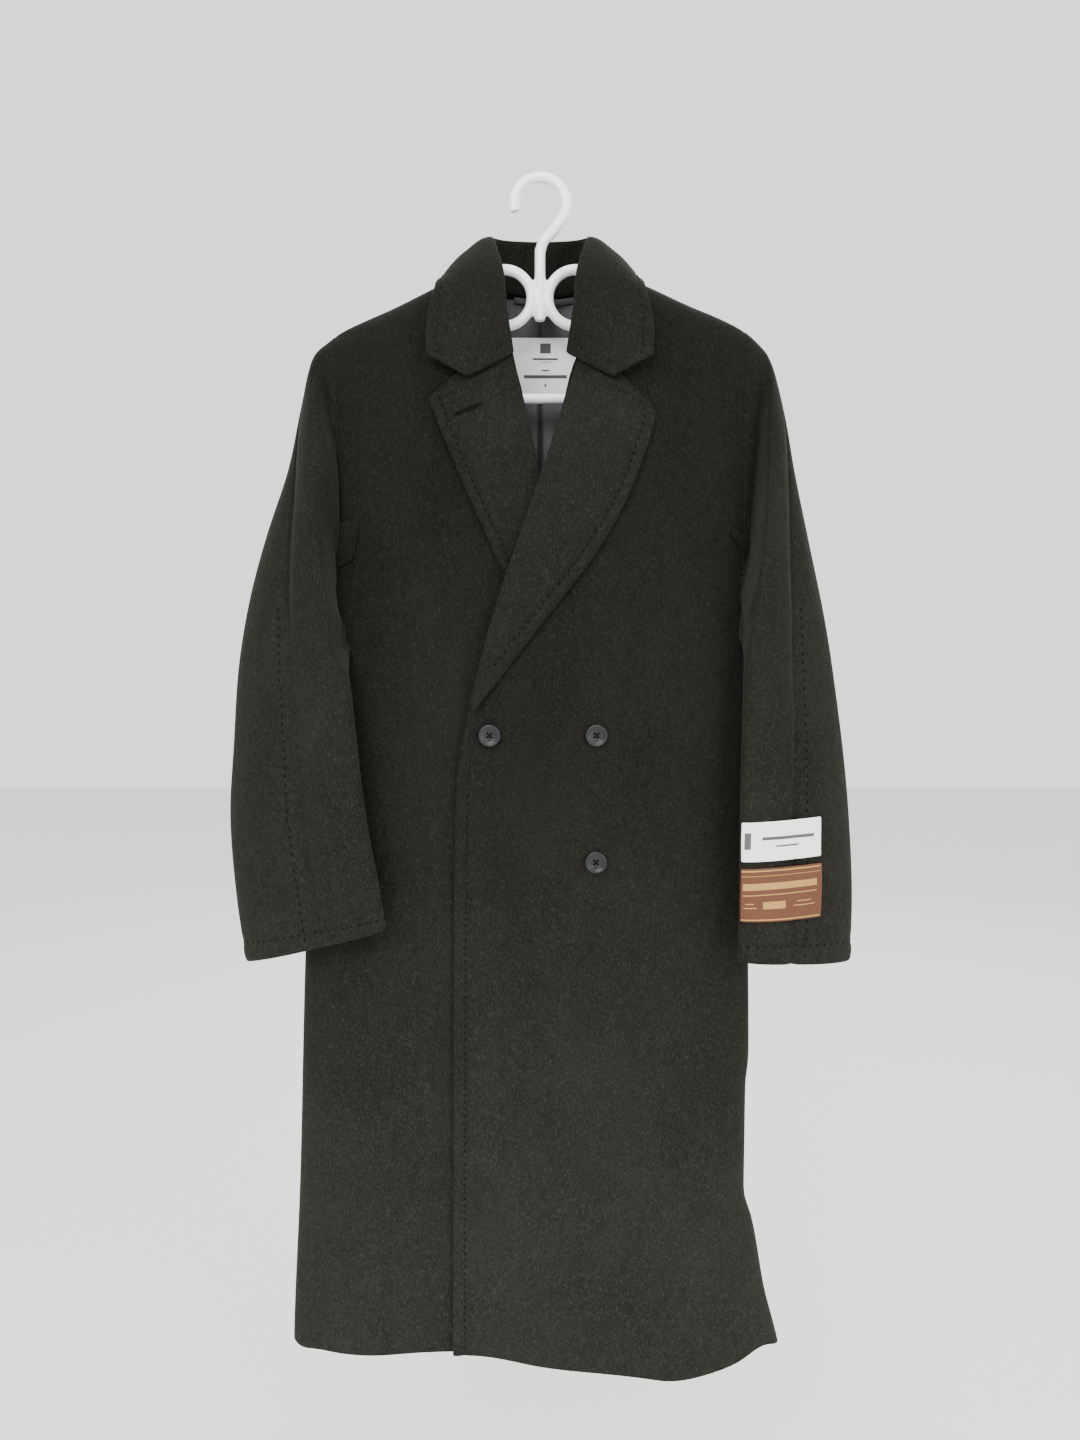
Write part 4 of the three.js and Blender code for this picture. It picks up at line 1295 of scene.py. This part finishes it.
def make_loop():
    """The hanging loop: a narrow folded strip, sewn down at both ends."""
    xs = np.linspace(-30, 40, 50)
    grid = []
    for h in np.linspace(-3.4, 3.4, 9):
        row = []
        for x in xs:
            f = (x + 30) / 70
            sag = -4.0 * math.sin(math.pi * f)
            z = -107 + h + sag
            angle = angle_at(np.array([x]), np.array([z]), True)
            stand = 1.2 + 3.0 * math.sin(math.pi * f) - 0.036 * h * h
            row.append(body_point(angle, np.array([z]), 2 * WOOL + GAP + stand, False, True)[0])
        grid.append(row)
    grid = np.array(grid)
    obj = sheet_mesh("hanging_loop_strip", grid, LOOP_SATIN, 0.9)
    finish_piece(obj, "lining", "coat", ["hanging_loop"])
    declare_cloth(grid)


# ---- Hanger ----
def tube_points(path, radius, ring=16, closed=False):
    """A round tube along a path in the hanger's plane, with closed ends."""
    path = np.array([(x, 0, z) for x, z in path], float)
    if closed:
        tangent = np.roll(path, -1, 0) - np.roll(path, 1, 0)
    else:
        tangent = np.gradient(path, axis=0)
    tangent /= np.linalg.norm(tangent, axis=1, keepdims=True)
    side = np.cross(tangent, (0, 1, 0))
    a = np.linspace(0, 2 * math.pi, ring, endpoint=False)
    across = np.cos(a)[None, :, None] * side[:, None]
    through = np.sin(a)[None, :, None] * np.array([0, 1, 0])
    return path[:, None] + radius * (across + through)


def add_tube(parts, path, radius=TUBE_RADIUS, closed=False):
    grid = tube_points(path, radius, closed=closed)
    if closed:
        grid = np.concatenate([grid, grid[:1]])
    nv, nu, _ = grid.shape
    first = sum(len(p) for p, _ in parts)
    faces = grid_faces(nv, nu, True)
    if not closed:
        faces += [tuple(range(nu))[::-1], tuple(range((nv - 1) * nu, nv * nu))]
    parts.append((grid.reshape(-1, 3), [tuple(first + i for i in f) for f in faces]))


def arc(cx, cz, r, start, end, n):
    return [(cx + r * math.cos(a), cz + r * math.sin(a)) for a in np.linspace(start, end, n)]


def plane_curve(points, n):
    return [tuple(p) for p in along(points, np.linspace(0, 1, n))]


HANGER_STEM = [(24.5, -33), (14, -48), (4, -58), (0, -70)]
HANGER_ARM = [
    (63.4, -106), (100, -122), (150, -146), (186, -164), (197, -171),
    (200, -183), (197, -202), (186, -215), (168, BAR_HEIGHT),
]


def make_hanger():
    """One moulding: round tubes joined and filleted where they meet."""
    parts = []
    centre = -(HOOK_RADIUS - TUBE_RADIUS)
    hook = arc(0, centre, HOOK_RADIUS, math.pi * 1.09, -0.3, 40)
    add_tube(parts, hook + plane_curve(HANGER_STEM, 20))
    add_tube(parts, [(0, z) for z in np.linspace(-66, -140, 20)])
    ring = arc(RING_OUT, RING_HEIGHT, RING_RADIUS, 0, 2 * math.pi, 72)[:-1]
    arm = plane_curve(HANGER_ARM, 80)
    for side in (-1, 1):
        add_tube(parts, [(side * x, z) for x, z in ring], closed=True)
        add_tube(parts, [(side * x, z) for x, z in arm])
    add_tube(parts, [(x, BAR_HEIGHT) for x in np.linspace(-170, 170, 40)])
    points = np.concatenate([p for p, _ in parts])
    faces = [f for _, some in parts for f in some]
    obj = make_object("hanger_moulding", points, faces, HANGER_PLASTIC)
    joined = obj.modifiers.new("join", "REMESH")
    joined.mode = "VOXEL"
    joined.voxel_size = 1.3 * MM
    softened = obj.modifiers.new("fillets", "SMOOTH")
    softened.factor = 0.5
    softened.iterations = 14
    apply_modifiers(obj)
    obj.data.polygons.foreach_set("use_smooth", [True] * len(obj.data.polygons))
    if not obj.data.materials:
        obj.data.materials.append(HANGER_PLASTIC)
    finish_piece(obj, "hanger_plastic", "hanger", ["hanger"])


# ---- Stage ----
CAMERA_BACK = 1.162
CAMERA_HEIGHT = -0.4669
CAMERA_TILT = math.radians(4.5)


def make_camera():
    data = bpy.data.cameras.new("camera")
    data.sensor_fit = "VERTICAL"
    data.sensor_height = 36
    data.lens = 27.05
    data.clip_start = 0.05
    camera = bpy.data.objects.new("camera", data)
    camera.location = (0, -CAMERA_BACK, CAMERA_HEIGHT)
    camera.rotation_euler = (math.pi / 2 - CAMERA_TILT, 0, 0)
    bpy.context.scene.collection.objects.link(camera)
    bpy.context.scene.camera = camera


def area_light(name, place, size, power, aim=(0, 0, -0.6)):
    data = bpy.data.lights.new(name, "AREA")
    data.shape = "RECTANGLE"
    data.size, data.size_y = size
    data.energy = power
    light = bpy.data.objects.new(name, data)
    light.location = place
    light.rotation_euler = (Vector(aim) - Vector(place)).to_track_quat("-Z", "Y").to_euler()
    bpy.context.scene.collection.objects.link(light)


def make_stage():
    g = Graph("pale_floor")
    g.set(Base_Color=(0.80, 0.80, 0.79, 1.0), Roughness=0.9, Specular_IOR_Level=0.1)
    half, floor = 7000.0, -1620.0
    corners = [(-half, -half, floor), (half, -half, floor), (half, half, floor), (-half, half, floor)]
    make_object("floor", corners, [(0, 1, 2, 3)], g.material, False)
    world = bpy.data.worlds.new("pale_room")
    world.use_nodes = True
    background = world.node_tree.nodes["Background"]
    background.inputs[0].default_value = (0.88, 0.88, 0.87, 1)
    background.inputs[1].default_value = 1.9
    bpy.context.scene.world = world
    area_light("key", (-0.7, -2.6, 0.9), (1.6, 1.2), 85, (0, 0, -0.8))
    area_light("fill", (1.6, -2.4, -0.4), (1.4, 1.8), 40, (0, 0, -0.9))
    area_light("top", (0.2, -0.8, 1.9), (1.6, 1.6), 40)
    area_light("back", (0.6, 2.6, 1.2), (2.0, 1.6), 70)


make_camera()
make_stage()
make_fronts()
make_front_insides()
make_back()
make_lapel("outer_lapel_cloth", OUTER_LAPEL_ROLL, OUTER_LAPEL_EDGE, True, full, "outer_lapel")
make_lapel("under_lapel_cloth", UNDER_LAPEL_ROLL, UNDER_LAPEL_EDGE, False, flatten, "under_lapel")
make_collar()
for sleeve in SLEEVES:
    make_sleeve(*sleeve)
make_button("button_closing", *CLOSING_BUTTON, False)
make_button("button_upper", BUTTON_COLUMN, CLOSING_BUTTON[1], True)
make_button("button_lower", BUTTON_COLUMN, CLOSING_BUTTON[1] - BUTTON_LOW, True)
make_buttonhole("closing_buttonhole", CLOSING_BUTTON[0], CLOSING_BUTTON[1], 0.1, 0.0, True)
make_buttonhole("lapel_buttonhole", -70.0, -240.5, 8.6, 0.38, False, 29.0)
make_gusset("gusset_right", [(-214, -351), (-185, -348), (-192, -389), (-214, -398)], 2.6)
make_gusset("gusset_left", [(196, -357), (226, -368), (226, -400), (199, -365)], 3.0)
front_stitches()
lapel_stitches()
collar_stitches()
sleeve_stitches()
for sleeve_label in SLEEVE_LABELS:
    make_sleeve_label(*sleeve_label)
make_neck_label()
make_loop()
make_hanger()
